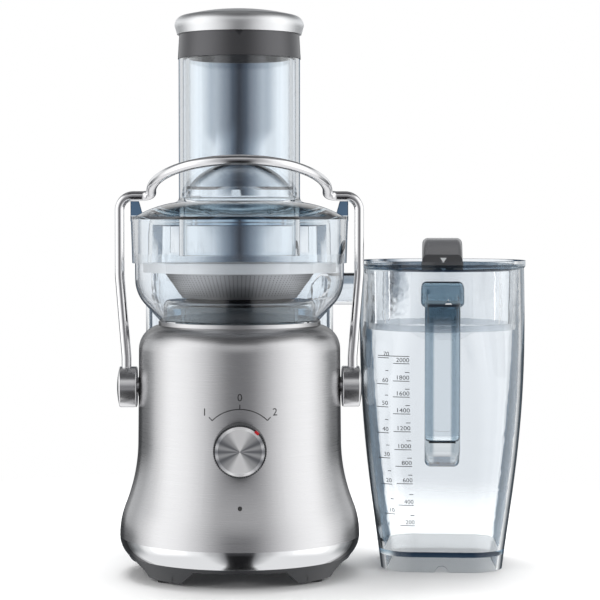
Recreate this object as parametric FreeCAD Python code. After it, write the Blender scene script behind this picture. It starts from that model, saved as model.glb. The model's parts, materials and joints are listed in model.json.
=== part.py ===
"""Centrifugal juicer with its pulp bin and juice jug.

Every piece is its own solid. Lengths are millimetres, +Z is up, the counter is z = 0,
the motor axis is the Z axis, the front is -Y and the jug stands on the +X side.
"""
import FreeCAD
import Part
import math
import os

# Fits and clearances
FIT = 0.05             # radial play where one round piece sits or runs in another
CLEAR = 0.3            # gap kept between curved faces that pass each other
CUT_OVER = 1.0         # how far a cutter runs past the face it opens

# Base pan, feet and trim band
PAD_R = 5.0            # rubber foot pad
PAD_SHOW = 2.0         # pad standing below the pan
PAD_SEAT = 1.5         # pad sunk into the pan
PAD_EDGE = 1.5         # pad to arch
FOOT_H = 16.0          # counter to the underside of the trim band
ARCH_H = 13.0          # height of the arches between the feet
PAD_ANGLE = 37.9       # pads round from the side, degrees
PAD_INSET = 4.9        # pad centre inside the foot of the pan
ARCH_ROUND = 8.0       # rounding of an arch's upper corners
PAN_STEP = 6.1         # pan drawn in under the body
PAN_TAPER = 9.7        # pan drawn in again down to the counter
PAN_INNER_R = 60.0     # inside of the foot lobes
PAN_LIP = 2.5          # wall that stands up inside the trim band
VENT_COUNT = 16
VENT_IN_R = 24.0
VENT_OUT_R = 38.0
VENT_W = 4.0
TRIM_H = 14.4
TRIM_SEAT = 2.7        # band reaching in past the edge of the pan
TRIM_BULGE = 1.5
SCREW_R = 1.9
SCREW_HEAD_R = 3.6
SCREW_HEAD_H = 2.4
BOSS_R = 4.6
BOSS_GAP = 2.0         # boss to the motor's lower plate
BOSS_CAP = 3.0         # boss left over the screw's tip

# Brushed steel body
BODY_H = 168.6
SHEET = 1.2
FOOT_R = 94.8          # body at the trim band
WAIST_R = 80.2         # where the flare starts
WALL_R = 79.5          # under the shoulder
NECK_R = 64.0          # rim round the deck
NECK_H = 2.9
SHOULDER_R = 19.5
FLARE_H = 75.1         # height of the flare
FLARE_LOWER_R = 66.0   # radius of the lower, bulging part of the flare

# Deck on top of the body
DECK_T = 5.0
DECK_WALL = 3.0
TURRET_R = 43.4
TURRET_H = 16.5
TURRET_ROUND = 2.0
RECESS_R = 26.0        # coupling well in the turret
RECESS_H = 10.5
SEAL_R = 9.0

# Motor
HOUSING_WALL = 2.5     # plastic sleeve that carries the deck
AIR_SLOTS = 9          # slots through the back of the sleeve
AIR_SLOT_STEP = 8.0    # degrees between them
MOUNT_H = 18.0
MOUNT_R = 7.0
MOUNT_AT = 46.0
BRACKET_T = 6.0
BRACKET_R = 56.0
POST_R = 4.0
SHAFT_R = 5.0
BEARING_R = 11.0
FAN_GAP = 3.0
FAN_H = 12.0
FAN_R = 34.0
FAN_HUB_R = 10.0
FAN_BLADES = 9
FAN_BLADE_T = 2.0
FAN_FLOOR = 2.0
FAN_RAKE = 22.0        # blades leaning back, degrees
STATOR_GAP = 13.0      # fan to stator
STATOR_R = 44.0
STATOR_BORE_R = 25.0
STATOR_H = 44.0
SLOT_COUNT = 12
SLOT_W = 2.0
AIR_GAP = 0.7
WINDING_H = 8.0
WINDING_INNER_R = 27.0
WINDING_OUTER_R = 40.0
COMMUTATOR_R = 13.0
COMMUTATOR_H = 14.0
COMMUTATOR_GAP = 12.0  # stator to commutator
BRUSH_L = 22.0
BRUSH_W = 10.0
COUPLING_R = 20.0
COUPLING_LUGS = 3
LUG_W = 6.0
LUG_REACH = 4.0
COUPLING_GAP = 1.0     # coupling to the floor of its well

# Switches, board, cord entry
DIAL_Z = 106.8
SWITCH_W = 24.0
SWITCH_DEPTH = 13.0
BUSH_FLANGE_R = 9.0
BUSH_FLANGE_T = 2.5
BUSH_NECK_R = 5.0
SPINDLE_R = 3.0
SPINDLE_BITE = 7.0     # spindle inside the switch
LENS_Z = 62.6
LENS_R = 1.6
LENS_FLANGE_R = 2.8
LENS_PROUD = 0.5
LENS_DEPTH = 6.0        # body's face to the back of the lens
BOARD_W = 44.0
BOARD_H = 50.0
BOARD_T = 1.6
BOARD_Z = 60.0
CAPACITOR_R = 6.0
CAPACITOR_GAP = 5.65   # to the body's sheet behind
GROMMET_Z = 48.0
GROMMET_R = 6.0
GROMMET_FLANGE_R = 8.5
GROMMET_PROUD = 1.6
CORD_HOLE_R = 3.4

# Speed dial
DIAL_GAP = 1.8         # body to the back of the knob
DIAL_DEPTH = 18.5
KNOB_R = 20.1
KNOB_FRONT_R = 18.9
KNOB_HOLLOW_R = 11.0
KNOB_HOLLOW_H = 4.0
FACE_T = 2.0
FACE_R = 16.3
FACE_EDGE_R = 18.6
FACE_EDGE_T = 0.8
POINTER_W = 3.4
POINTER_L = 7.0
POINTER_IN_R = 17.2
POINTER_OUT_R = 19.9
POINTER_ANGLE = 42.0   # clockwise of the top, at the fast setting

# Filter basket
BASKET_RISE = 18.3     # body top to the underside of the basket
BASKET_FOOT_R = 45.4
BASKET_TOP_R = 64.6
BASKET_H = 28.7
BASKET_T = 1.5
RIM_GAP = 4.1          # basket rim to the bowl's inner wall
RIM_H = 8.0
RIM_T = 1.4
DISC_R = 41.0
DISC_T = 1.6
DISC_HUB_R = 12.0
DISC_HUB_H = 9.0
TOOTH_ROWS = 4
TOOTH_ROW_STEP = 6.0
TOOTH_FIRST_R = 18.0
TOOTH_PITCH = 9.0      # spacing of the teeth round a row
TOOTH_L = 3.4
TOOTH_W = 1.6
TOOTH_H = 1.8

# Clear filter bowl with its nozzle
BOWL_WALL = 2.2
BOWL_R = 82.3
BOWL_BEND_R = 30.0
BOWL_SLOPE = 48.0      # slope of the lower cone, degrees
BOWL_FOOT_R = 62.4
BOWL_H = 53.5
HUB_R = 60.0           # raised floor under the basket
HUB_H = 15.5
HUB_ROUND = 4.0
HUB_PLAY = 0.8         # hub hole to turret
NOZZLE_R = 12.9
NOZZLE_WALL = 2.2
NOZZLE_Y = 42.0
NOZZLE_RISE = 23.8     # body top to the nozzle's axis
NOZZLE_X = 100.0       # nozzle tip

# Clear cover with feed chute
SKIRT_WALL = 1.9
SKIRT_LAP = 7.5        # skirt below the bowl's rim
SKIRT_H = 32.7
SKIRT_FLARE = 1.0      # skirt widens upwards by this much
LIP_H = 3.9
LIP_PROUD = 0.3
COVER_WALL = 2.3
DOME_H = 10.8
DOME_BULGE = 1.6
CHUTE_BORE_R = 44.5
CHUTE_WALL = 3.2
CHUTE_H = 112.6        # dome to the mouth
CHUTE_FLARE = 4.0      # fillet at the foot of the chute
CHUTE_DROP = 41.0      # chute below the dome's top
EAR_W = 10.0
EAR_TOP_W = 5.0
EAR_DEPTH = 12.0
HOOD_SIDE = 77.0       # rear pulp hood, half width
HOOD_BACK = 166.0
HOOD_CORNER_R = 32.0
HOOD_LAP = 2.0         # hood below the skirt
HOOD_DROP = 2.7        # hood roof below the lip
WINDOW_SIDE = 58.0     # pulp window through the skirt, half width
WINDOW_SILL = 1.5      # bowl rim to the window

# Locking arm
PIVOT_DROP = 51.9      # body top down to the arm's pivot
ROD_R = 3.8
LEG_SET = 8.4          # drum's inner face to the arm's foot
LEG_GAP = 8.7          # cover's lip to the middle of the leg
LEG_STRAIGHT = 62.6    # upright length of a leg above its knee
ARM_RISE = 16.0        # cover lip up to the arm's shoulders
SHOULDER_BEND_R = 11.0
KINK_R = 8.0
LEG_FOOT_BEND_R = 38.0
LEG_KNEE_BEND_R = 76.0
LOOP_R = 69.0
LOOP_TILT = 20.0       # loop above the horizontal, degrees
HUB_DRUM_R = 16.2
DRUM_GAP = 0.8         # body's waist to the drums
DRUM_W = 14.0
DRUM_DOME = 1.9
DRUM_ROUND = 1.2
DRUM_SKIN = 3.0        # drum left over the end of the pin
ROD_SEAT = 8.0         # leg sunk into its drum
PIN_R = 6.0
PIN_COLLAR_R = 7.5
PIN_HEAD_R = 9.0
PIN_HEAD_T = 3.0
INTERLOCK_L = 11.0
INTERLOCK_W = 8.0
INTERLOCK_H = 12.0
PLUNGER_L = 2.0
PLUNGER_R = 2.0

# Pusher
PUSHER_R = 42.3
PUSHER_WALL = 2.4
PUSHER_REACH = 109.3   # tube below the chute's mouth
PUSHER_FLOOR_RISE = 6.3
PUSHER_DOME = 20.0
COLLAR_H = 19.0
COLLAR_LOW_R = 48.3
COLLAR_TOP_R = 47.2
NOTCH_W = 9.0
NOTCH_H = 4.0
NOTCH_DEPTH = 2.5
CAP_R = 50.8
CAP_H = 20.0
CAP_EDGE_H = 7.0
CAP_EDGE_BULGE = 1.4
CAP_CROWN_R = 43.7     # where the flat crown starts
CAP_CROWN_H = 5.3
CAP_WALL = 2.0

# Pulp bin
BIN_FRONT_GAP = 4.2    # body's foot to the bin's hollow front wall
BIN_SIDE = 77.4
BIN_BACK = 165.0
BIN_CORNER_R = 30.0
BIN_FRONT_ROUND = 5.0
BIN_WALL = 2.2
BIN_FLOOR = 3.0
BIN_GAP = 0.5          # bin rim to hood

# Jug, with its own axis
JUG_X = 164.0
JUG_Y = 36.0
JUG_TURN = -5.5        # handle turned towards the viewer, degrees
JUG_RISE = 20.7        # nozzle axis up to the jug's rim
JUG_WALL = 4.2
JUG_FOOT_W = 48.5      # half widths from the foot up
JUG_LOW_W = 56.4
JUG_MID_W = 63.7
JUG_SHOULDER_W = 66.2
JUG_MOUTH_W = 65.8
JUG_LOW_Z = 61.0
JUG_MID_Z = 133.0
JUG_SHOULDER_DROP = 38.5
JUG_FOOT_CORNER_R = 27.0
JUG_LOW_CORNER_R = 30.0
JUG_MID_CORNER_R = 38.0
JUG_SHOULDER_CORNER_R = 58.0
JUG_FLOOR_Z = 16.0
JUG_BEAD = 1.2         # rim bead beyond the mouth
JUG_BEAD_H = 4.0
JUG_NOTCH_R = 5.0
INLET_PLAY = 0.7       # nozzle to the jug's inlet
INLET_SLOT = 7.0       # inlet lengthened upwards
GRIP_W = 27.0
GRIP_T = 12.0
GRIP_OUT = 104.0       # jug axis to the front of the handle
GRIP_BOTTOM_Z = 106.0  # where the grip turns back to the wall
GRIP_LOW_Z = 88.0      # middle of the lower root
GRIP_DROP = 12.5       # rim down to the top of the handle
GRIP_BRIDGE_H = 19.0
GRIP_BRIDGE_W = 33.0
GRIP_BEND_R = 15.0
GRIP_EDGE = 4.5        # rounding of the grip's edges
PANEL_W = 17.0         # sunk panel on the front of the handle
PANEL_DEPTH = 1.5
PANEL_ROUND = 5.0
PANEL_END = 12.0

# Jug lid
LID_FLANGE_T = 2.5
LID_PLAY = 0.9
LID_WALL = 2.2
LID_SINK = 5.6         # top plate below the rim
LID_PLATE_T = 2.4
LID_SKIRT_H = 47.5
LID_RIBS = 6
LID_RIB_W = 2.0
LID_RIB_DEPTH = 7.0
SEAL_RING_H = 5.0
STRAP_W = 32.0
STRAP_T = 6.0
STRAP_ROUND = 4.5      # rounding of the strap's upper edges
STRAP_HALF = 40.0
STRAP_SIDE_H = 11.0
STRAP_H = 23.6
BAFFLE_W = 52.0
BAFFLE_T = 2.0
BAFFLE_Y = 38.0
BAFFLE_H = 58.0
BAFFLE_CHAMFER = 10.0

# Levels and radii that follow
BODY_Z0 = FOOT_H + TRIM_H
BODY_Z1 = BODY_Z0 + BODY_H
PAN_R = FOOT_R - PAN_STEP
PAN_FOOT_R = PAN_R - PAN_TAPER
TRIM_INNER_R = PAN_R - TRIM_SEAT
FLARE_TURN = 2 * math.degrees(math.atan((FOOT_R - WAIST_R) / FLARE_H))
PIVOT_Z = BODY_Z1 - PIVOT_DROP
BIN_FRONT_R = FOOT_R + BIN_FRONT_GAP
DECK_Z0 = BODY_Z1 - DECK_T
DECK_R = NECK_R - SHEET - FIT
TURRET_Z1 = BODY_Z1 + TURRET_H
RECESS_Z0 = TURRET_Z1 - RECESS_H
HOUSING_R = DECK_R - FIT
HOUSING_INNER_R = HOUSING_R - HOUSING_WALL
LOW_BRACKET_Z = FOOT_H + MOUNT_H
BOSS_Z1 = LOW_BRACKET_Z - BOSS_GAP
SCREW_Z1 = BOSS_Z1 - BOSS_CAP
FAN_Z = LOW_BRACKET_Z + BRACKET_T + FAN_GAP
STATOR_Z0 = FAN_Z + FAN_H + STATOR_GAP
STATOR_Z1 = STATOR_Z0 + STATOR_H
COMMUTATOR_Z = STATOR_Z1 + COMMUTATOR_GAP
TOP_BRACKET_Z = COMMUTATOR_Z + COMMUTATOR_H + CLEAR
BASKET_Z = BODY_Z1 + BASKET_RISE
BASKET_Z1 = BASKET_Z + BASKET_H
COUPLING_Z = RECESS_Z0 + COUPLING_GAP
BOWL_Z1 = BODY_Z1 + BOWL_H
BOWL_INNER_R = BOWL_R - BOWL_WALL
RIM_R = BOWL_INNER_R - RIM_GAP
NOZZLE_Z = BODY_Z1 + NOZZLE_RISE
JUG_H = NOZZLE_Z + JUG_RISE
JUG_SHOULDER_Z = JUG_H - JUG_SHOULDER_DROP
GRIP_TOP_Z = JUG_H - GRIP_DROP
SKIRT_INNER_R = BOWL_R + CLEAR
SKIRT_R = SKIRT_INNER_R + SKIRT_WALL
SKIRT_Z0 = BOWL_Z1 - SKIRT_LAP
SKIRT_Z1 = SKIRT_Z0 + SKIRT_H
LIP_R = SKIRT_R + SKIRT_FLARE + LIP_PROUD
LIP_Z1 = SKIRT_Z1 + LIP_H
ARM_TOP_Z = LIP_Z1 + ARM_RISE
LEG_KNEE_Z = ARM_TOP_Z - LEG_STRAIGHT
CHUTE_R = CHUTE_BORE_R + CHUTE_WALL
DOME_Z1 = LIP_Z1 + DOME_H
CHUTE_Z1 = DOME_Z1 + CHUTE_H
CHUTE_Z0 = DOME_Z1 - CHUTE_DROP
COLLAR_Z1 = CHUTE_Z1 + COLLAR_H
PUSHER_Z0 = CHUTE_Z1 - PUSHER_REACH
HOOD_Z0 = SKIRT_Z0 - HOOD_LAP
HOOD_Z1 = LIP_Z1 - HOOD_DROP
BIN_H = HOOD_Z0 - BIN_GAP
DIAL_BACK = WAIST_R + DIAL_GAP
DRUM_IN_X = WAIST_R + DRUM_GAP
DRUM_OUT_X = DRUM_IN_X + DRUM_W
LEG_LOW_X = DRUM_IN_X + LEG_SET
LEG_HIGH_X = LIP_R + LEG_GAP
BOARD_Y0 = HOUSING_R + FIT
BOARD_Y1 = BOARD_Y0 + BOARD_T
CAPACITOR_H = WAIST_R - SHEET - CAPACITOR_GAP - BOARD_Y1
SWITCH_Y0 = -(WAIST_R - SHEET - BUSH_FLANGE_T)
SWITCH_Y1 = SWITCH_Y0 + SWITCH_DEPTH
PIN_END_X = DRUM_OUT_X - DRUM_SKIN
LID_R = JUG_MOUTH_W - JUG_WALL - LID_PLAY
LID_Z0 = JUG_H - LID_SKIRT_H
PLATE_Z1 = JUG_H + LID_FLANGE_T - LID_SINK
PLATE_Z0 = PLATE_Z1 - LID_PLATE_T

ORIGIN = FreeCAD.Vector(0, 0, 0)
RIGHT = FreeCAD.Vector(1, 0, 0)
BACK = FreeCAD.Vector(0, 1, 0)
UP = FreeCAD.Vector(0, 0, 1)
CORNERS = (45, 135, 225, 315)


def at(radius, height):
    """A point of a profile in the XZ plane."""
    return FreeCAD.Vector(radius, 0, height)


def swing(centre, radius, first, last):
    """An arc move for outline(): its middle and its end, about a centre, angles in degrees."""
    def spot(angle):
        turn = math.radians(angle)
        return (centre[0] + radius * math.cos(turn), centre[1] + radius * math.sin(turn))
    return (spot((first + last) / 2), spot(last))


def outline(*moves):
    """Closed wire in the XZ plane. A move is a point, or a (middle, end) pair for an arc."""
    edges = []
    here = moves[0]
    for move in moves[1:] + (moves[0],):
        if isinstance(move[0], tuple):
            edges.append(Part.Arc(at(*here), at(*move[0]), at(*move[1])).toShape())
            here = move[1]
        elif (at(*move) - at(*here)).Length > 1e-6:
            edges.append(Part.makeLine(at(*here), at(*move)))
            here = move
    return Part.Wire(edges)


def crowned(rim_r, rim_z, rise, outwards=False):
    """Arc move between a rim and the axis, part of a ball centred on the axis."""
    ball = (rim_r ** 2 + rise ** 2) / (2 * rise)
    half = math.asin(rim_r / ball) / 2
    middle = (ball * math.sin(half), rim_z + rise - ball + ball * math.cos(half))
    return (middle, (rim_r, rim_z) if outwards else (0, rim_z + rise))


def turned(*moves):
    """Solid of revolution about Z."""
    return Part.Face(outline(*moves)).revolve(ORIGIN, UP, 360)


def extruded(depth, *moves):
    """Prism of an XZ outline, centred on y = 0."""
    face = Part.Face(outline(*moves))
    face.translate(BACK * (-depth / 2))
    return face.extrude(BACK * depth)


def disc(radius, z0, z1):
    """Upright cylinder on the motor axis."""
    return Part.makeCylinder(radius, z1 - z0, at(0, z0))


def ring(outer_r, inner_r, z0, z1):
    """Upright tube on the motor axis."""
    return disc(outer_r, z0, z1).cut(disc(inner_r, z0 - CUT_OVER, z1 + CUT_OVER))


def post(radius, x, y, z0, z1):
    """Upright cylinder anywhere."""
    return Part.makeCylinder(radius, z1 - z0, FreeCAD.Vector(x, y, z0))


def block(x0, x1, y0, y1, z0, z1):
    """Box between two corners."""
    return Part.makeBox(x1 - x0, y1 - y0, z1 - z0, FreeCAD.Vector(x0, y0, z0))


def spun(shape, angle):
    """Copy of a shape turned about the motor axis."""
    copy = shape.copy()
    copy.rotate(ORIGIN, UP, angle)
    return copy


def around(shape, count):
    """Copies of a shape, evenly round the motor axis."""
    return [spun(shape, 360 * i / count) for i in range(count)]


def mirrored(shape):
    """The same piece on the other side."""
    return shape.mirror(ORIGIN, RIGHT)


def corner_spot(distance, angle):
    """X and Y of a point at a distance from the motor axis."""
    turn = math.radians(angle)
    return distance * math.cos(turn), distance * math.sin(turn)


def save(name, *solids):
    """Write one named piece, or one group of equal pieces."""
    shape = solids[0] if len(solids) == 1 else Part.makeCompound(list(solids))
    shape.exportStep(os.path.join("parts", name + ".step"))


# Body and base

def body_form(inset):
    """Everything inside the body's skin, drawn in by an inset square to the surface."""
    upper_r = FLARE_H / math.sin(math.radians(FLARE_TURN)) - FLARE_LOWER_R
    flare_top = BODY_Z0 + FLARE_H
    lower_centre = (FOOT_R - FLARE_LOWER_R, BODY_Z0)
    upper_centre = (WAIST_R + upper_r, flare_top)
    neck_turn = math.acos((NECK_R - WALL_R + SHOULDER_R) / SHOULDER_R)
    shoulder = (WALL_R - SHOULDER_R, BODY_Z1 - NECK_H - SHOULDER_R * math.sin(neck_turn))
    bend = SHOULDER_R - inset
    neck_end = math.degrees(math.acos((NECK_R - inset - shoulder[0]) / bend))
    return turned(
        (0, BODY_Z0),
        (FOOT_R - inset, BODY_Z0),
        swing(lower_centre, FLARE_LOWER_R - inset, 0, FLARE_TURN),
        swing(upper_centre, upper_r + inset, 180 + FLARE_TURN, 180),
        (WALL_R - inset, shoulder[1]),
        swing(shoulder, bend, 0, neck_end),
        (NECK_R - inset, BODY_Z1),
        (0, BODY_Z1),
    )


def across(radius, z, y0, y1):
    """Cylinder along Y on the centre plane."""
    return Part.makeCylinder(radius, y1 - y0, FreeCAD.Vector(0, y0, z), BACK)


def sideways(radius, x0, x1, y, z):
    """Cylinder along X."""
    return Part.makeCylinder(radius, x1 - x0, FreeCAD.Vector(x0, y, z), RIGHT)


def body_shell():
    """Spun steel skin with its dial, lamp, cord and pivot holes."""
    shell = body_form(0).cut(body_form(SHEET))
    holes = [
        across(BUSH_NECK_R + FIT, DIAL_Z, -FOOT_R, 0),
        across(LENS_R + FIT, LENS_Z, -FOOT_R, 0),
        across(GROMMET_R + FIT, GROMMET_Z, 0, FOOT_R),
        sideways(PIN_R + FIT, -FOOT_R, FOOT_R, 0, PIVOT_Z),
    ]
    return shell.cut(holes)


def trim_band():
    """Bright convex band under the body."""
    run, rise = FOOT_R - PAN_R, TRIM_H
    chord = math.hypot(run, rise)
    middle = (
        PAN_R + run / 2 + TRIM_BULGE * rise / chord,
        FOOT_H + rise / 2 - TRIM_BULGE * run / chord,
    )
    return turned((TRIM_INNER_R, FOOT_H), (PAN_R, FOOT_H), (middle, (FOOT_R, BODY_Z0)),
                  (TRIM_INNER_R, BODY_Z0))


def pan_r(z):
    """Radius of the pan's cone at a height."""
    return PAN_FOOT_R + (PAN_R - PAN_FOOT_R) * z / FOOT_H


def arch(half_width):
    """Cutter for the pair of opposite arches that face the front and the back."""
    c = ARCH_ROUND
    w = half_width
    h = ARCH_H
    return extruded(
        2 * PAN_R,
        (-w, -CUT_OVER), (w, -CUT_OVER), (w, h - c),
        swing((w - c, h - c), c, 0, 90),
        (c - w, h),
        swing((c - w, h - c), c, 90, 180),
    )


def pad_spots():
    """Centres of the four foot pads."""
    x, y = corner_spot(PAN_FOOT_R - PAD_INSET, PAD_ANGLE)
    return [(x, y), (-x, y), (-x, -y), (x, -y)]


def boss_spots():
    """Centres of the four screw bosses inside the sleeve."""
    return [corner_spot(HOUSING_INNER_R - BOSS_R + FIT, angle + 45) for angle in CORNERS]


def base_pan():
    """Dark tray that closes the body, with four foot lobes between arches."""
    lip_r = TRIM_INNER_R - FIT
    lip_z = BODY_Z0 - CUT_OVER
    tray = turned(
        (0, ARCH_H), (pan_r(ARCH_H), ARCH_H), (PAN_R, FOOT_H), (lip_r, FOOT_H), (lip_r, lip_z),
        (lip_r - PAN_LIP, lip_z), (lip_r - PAN_LIP, FOOT_H), (0, FOOT_H),
    )
    lobes = turned((PAN_INNER_R, PAD_SHOW), (pan_r(PAD_SHOW), PAD_SHOW),
                   (pan_r(ARCH_H), ARCH_H), (PAN_INNER_R, ARCH_H))
    pad_x, pad_y = pad_spots()[0]
    lobes = lobes.cut([arch(pad_x - PAD_R - PAD_EDGE), spun(arch(pad_y - PAD_R - PAD_EDGE), 90)])
    vent = block(VENT_IN_R, VENT_OUT_R, -VENT_W / 2, VENT_W / 2, 0, FOOT_H + CUT_OVER)
    cutters = around(vent, VENT_COUNT)
    cutters += [post(SCREW_R + FIT, x, y, 0, FOOT_H + CUT_OVER) for x, y in boss_spots()]
    cutters += [post(PAD_R + FIT, x, y, 0, PAD_SHOW + PAD_SEAT) for x, y in pad_spots()]
    return tray.fuse(lobes).cut(cutters).removeSplitter()


def base_feet():
    """Rubber pads, one in each lobe."""
    return [post(PAD_R, x, y, 0, PAD_SHOW + PAD_SEAT) for x, y in pad_spots()]


def base_screws():
    """Screws up through the pan into the sleeve's bosses."""
    screws = []
    for x, y in boss_spots():
        head = post(SCREW_HEAD_R, x, y, ARCH_H - SCREW_HEAD_H, ARCH_H)
        screws.append(head.fuse(post(SCREW_R, x, y, ARCH_H, SCREW_Z1)))
    return screws


def switch_form(gap):
    """Block of the speed switch behind the dial, grown by a gap."""
    half = SWITCH_W / 2 + gap
    return block(-half, half, SWITCH_Y0, SWITCH_Y1 + gap, DIAL_Z - half, DIAL_Z + half)


def inner_housing():
    """Plastic sleeve from the pan to the deck, with screw bosses and air slots."""
    sleeve = ring(HOUSING_R, HOUSING_INNER_R, FOOT_H, DECK_Z0)
    bosses = [post(BOSS_R, x, y, FOOT_H, BOSS_Z1) for x, y in boss_spots()]
    cutters = [post(SCREW_R + FIT, x, y, 0, SCREW_Z1 + FIT) for x, y in boss_spots()]
    cutters.append(sideways(PIN_R + FIT, -FOOT_R, FOOT_R, 0, PIVOT_Z))
    cutters.append(switch_form(CLEAR))
    slot = block(0, FOOT_R, -VENT_W / 2, VENT_W / 2, LOW_BRACKET_Z, STATOR_Z0)
    cutters += [spun(slot, 90 + AIR_SLOT_STEP * (step - AIR_SLOTS // 2)) for step in range(AIR_SLOTS)]
    return sleeve.fuse(bosses).cut(cutters).removeSplitter()


# Deck, motor and drive

def drive_deck():
    """Dark deck in the body's neck, with the turret that carries the basket's drive."""
    top = TURRET_Z1 - TURRET_ROUND
    deck = turned(
        (SEAL_R, DECK_Z0), (DECK_R, DECK_Z0), (DECK_R, BODY_Z1), (TURRET_R, BODY_Z1), (TURRET_R, top),
        swing((TURRET_R - TURRET_ROUND, top), TURRET_ROUND, 0, 90),
        (RECESS_R, TURRET_Z1), (RECESS_R, RECESS_Z0), (SEAL_R, RECESS_Z0),
    )
    hollow = ring(TURRET_R - DECK_WALL, RECESS_R + DECK_WALL, DECK_Z0 - CUT_OVER, TURRET_Z1 - DECK_WALL)
    return deck.cut(hollow)


def shaft_seal():
    """Rubber lip seal round the shaft."""
    return ring(SEAL_R - FIT, SHAFT_R + FIT, DECK_Z0, RECESS_Z0)


def bracket(z0):
    """Motor end plate with a bearing seat."""
    return ring(BRACKET_R, BEARING_R + FIT, z0, z0 + BRACKET_T)


def lower_bracket():
    """Lower end plate with the posts that grip the stator."""
    reach = STATOR_R + FIT + POST_R
    z0 = LOW_BRACKET_Z + BRACKET_T
    posts = [post(POST_R, *corner_spot(reach, angle), z0, TOP_BRACKET_Z) for angle in CORNERS]
    return bracket(LOW_BRACKET_Z).fuse(posts).removeSplitter()


def bearing(z0):
    """Ball bearing, drawn as one ring."""
    return ring(BEARING_R, SHAFT_R + FIT, z0, z0 + BRACKET_T)


def motor_mounts():
    """Rubber dampers under the motor."""
    return [post(MOUNT_R, *corner_spot(MOUNT_AT, angle), FOOT_H, LOW_BRACKET_Z) for angle in CORNERS]


def motor_stator():
    """Lamination stack with winding slots open to the bore."""
    stack = ring(STATOR_R, STATOR_BORE_R, STATOR_Z0, STATOR_Z1)
    slot = block(0, WINDING_OUTER_R, -POST_R / 2, POST_R / 2, STATOR_Z0 - CUT_OVER, STATOR_Z1 + CUT_OVER)
    return stack.cut(around(slot, SLOT_COUNT))


def motor_windings():
    """Copper end turns above and below the stack."""
    def end_turn(z0):
        return ring(WINDING_OUTER_R, WINDING_INNER_R, z0, z0 + WINDING_H)
    return [end_turn(STATOR_Z0 - WINDING_H), end_turn(STATOR_Z1)]


def brush_holders():
    """Two carbon brushes in holders that hang from the upper end plate."""
    inner = COMMUTATOR_R + CLEAR
    holder = block(inner, inner + BRUSH_L, -BRUSH_W / 2, BRUSH_W / 2, TOP_BRACKET_Z - BRUSH_W, TOP_BRACKET_Z)
    return [holder, mirrored(holder)]


def motor_shaft():
    """Steel shaft from the lower bearing to the coupling."""
    return disc(SHAFT_R, LOW_BRACKET_Z - CUT_OVER, BASKET_Z - BASKET_T)


def on_shaft(shape):
    """Bore a piece that is fixed on the shaft."""
    return shape.cut(disc(SHAFT_R + FIT, 0, BASKET_Z - BASKET_T + FIT))


def motor_rotor():
    """Armature stack with shallow slots."""
    radius = STATOR_BORE_R - AIR_GAP
    slot = block(radius - POST_R, radius + POST_R, -SLOT_W / 2, SLOT_W / 2,
                 STATOR_Z0 - CUT_OVER, STATOR_Z1 + CUT_OVER)
    return on_shaft(disc(radius, STATOR_Z0, STATOR_Z1).cut(around(slot, SLOT_COUNT)))


def commutator():
    """Segmented copper drum for the brushes."""
    z1 = COMMUTATOR_Z + COMMUTATOR_H
    return on_shaft(disc(COMMUTATOR_R, COMMUTATOR_Z, z1))


def cooling_fan():
    """Radial fan under the stator."""
    hub = disc(FAN_HUB_R, FAN_Z, FAN_Z + FAN_H)
    floor = disc(FAN_R, FAN_Z, FAN_Z + FAN_FLOOR)
    blade = block(FAN_HUB_R - CUT_OVER, FAN_R - CUT_OVER, 0, FAN_BLADE_T,
                  FAN_Z + FAN_FLOOR / 2, FAN_Z + FAN_H)
    blade.rotate(FreeCAD.Vector(FAN_HUB_R, 0, 0), UP, -FAN_RAKE)
    return on_shaft(hub.fuse([floor] + around(blade, FAN_BLADES)).removeSplitter())


def drive_coupling():
    """Toothed coupling between the shaft and the basket."""
    hub = disc(COUPLING_R, COUPLING_Z, BASKET_Z)
    lug = block(0, COUPLING_R + LUG_REACH, -LUG_W / 2, LUG_W / 2, COUPLING_Z, BASKET_Z - LUG_REACH)
    return on_shaft(hub.fuse(around(lug, COUPLING_LUGS)).removeSplitter())


# Filter basket

def filter_basket():
    """Cone of perforated sheet on a flat floor."""
    rise = math.hypot(BASKET_H, BASKET_TOP_R - BASKET_FOOT_R)
    thick = BASKET_T * rise / BASKET_H
    slope = (BASKET_TOP_R - BASKET_FOOT_R) / BASKET_H
    floor_z = BASKET_Z + BASKET_T
    return turned(
        (0, BASKET_Z), (BASKET_FOOT_R, BASKET_Z),
        (BASKET_TOP_R, BASKET_Z1), (BASKET_TOP_R - thick, BASKET_Z1),
        (BASKET_FOOT_R + slope * BASKET_T - thick, floor_z), (0, floor_z),
    )


def basket_rim():
    """Turned-down rim round the top of the basket."""
    inner = BASKET_TOP_R + FIT
    z0 = BASKET_Z1 - RIM_H
    return turned(
        (inner, BASKET_Z1 - RIM_T), (RIM_R - RIM_T, BASKET_Z1 - RIM_T), (RIM_R - RIM_T, z0), (RIM_R, z0),
        (RIM_R, BASKET_Z1), (inner, BASKET_Z1),
    )


def tooth(radius, z0):
    """One shredding tooth, a wedge that rises with the turn of the disc."""
    wedge = extruded(TOOTH_W, (-TOOTH_L / 2, z0), (TOOTH_L / 2, z0), (TOOTH_L / 2, z0 + TOOTH_H))
    wedge.rotate(ORIGIN, UP, 90)
    wedge.translate(RIGHT * radius)
    return wedge


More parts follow.
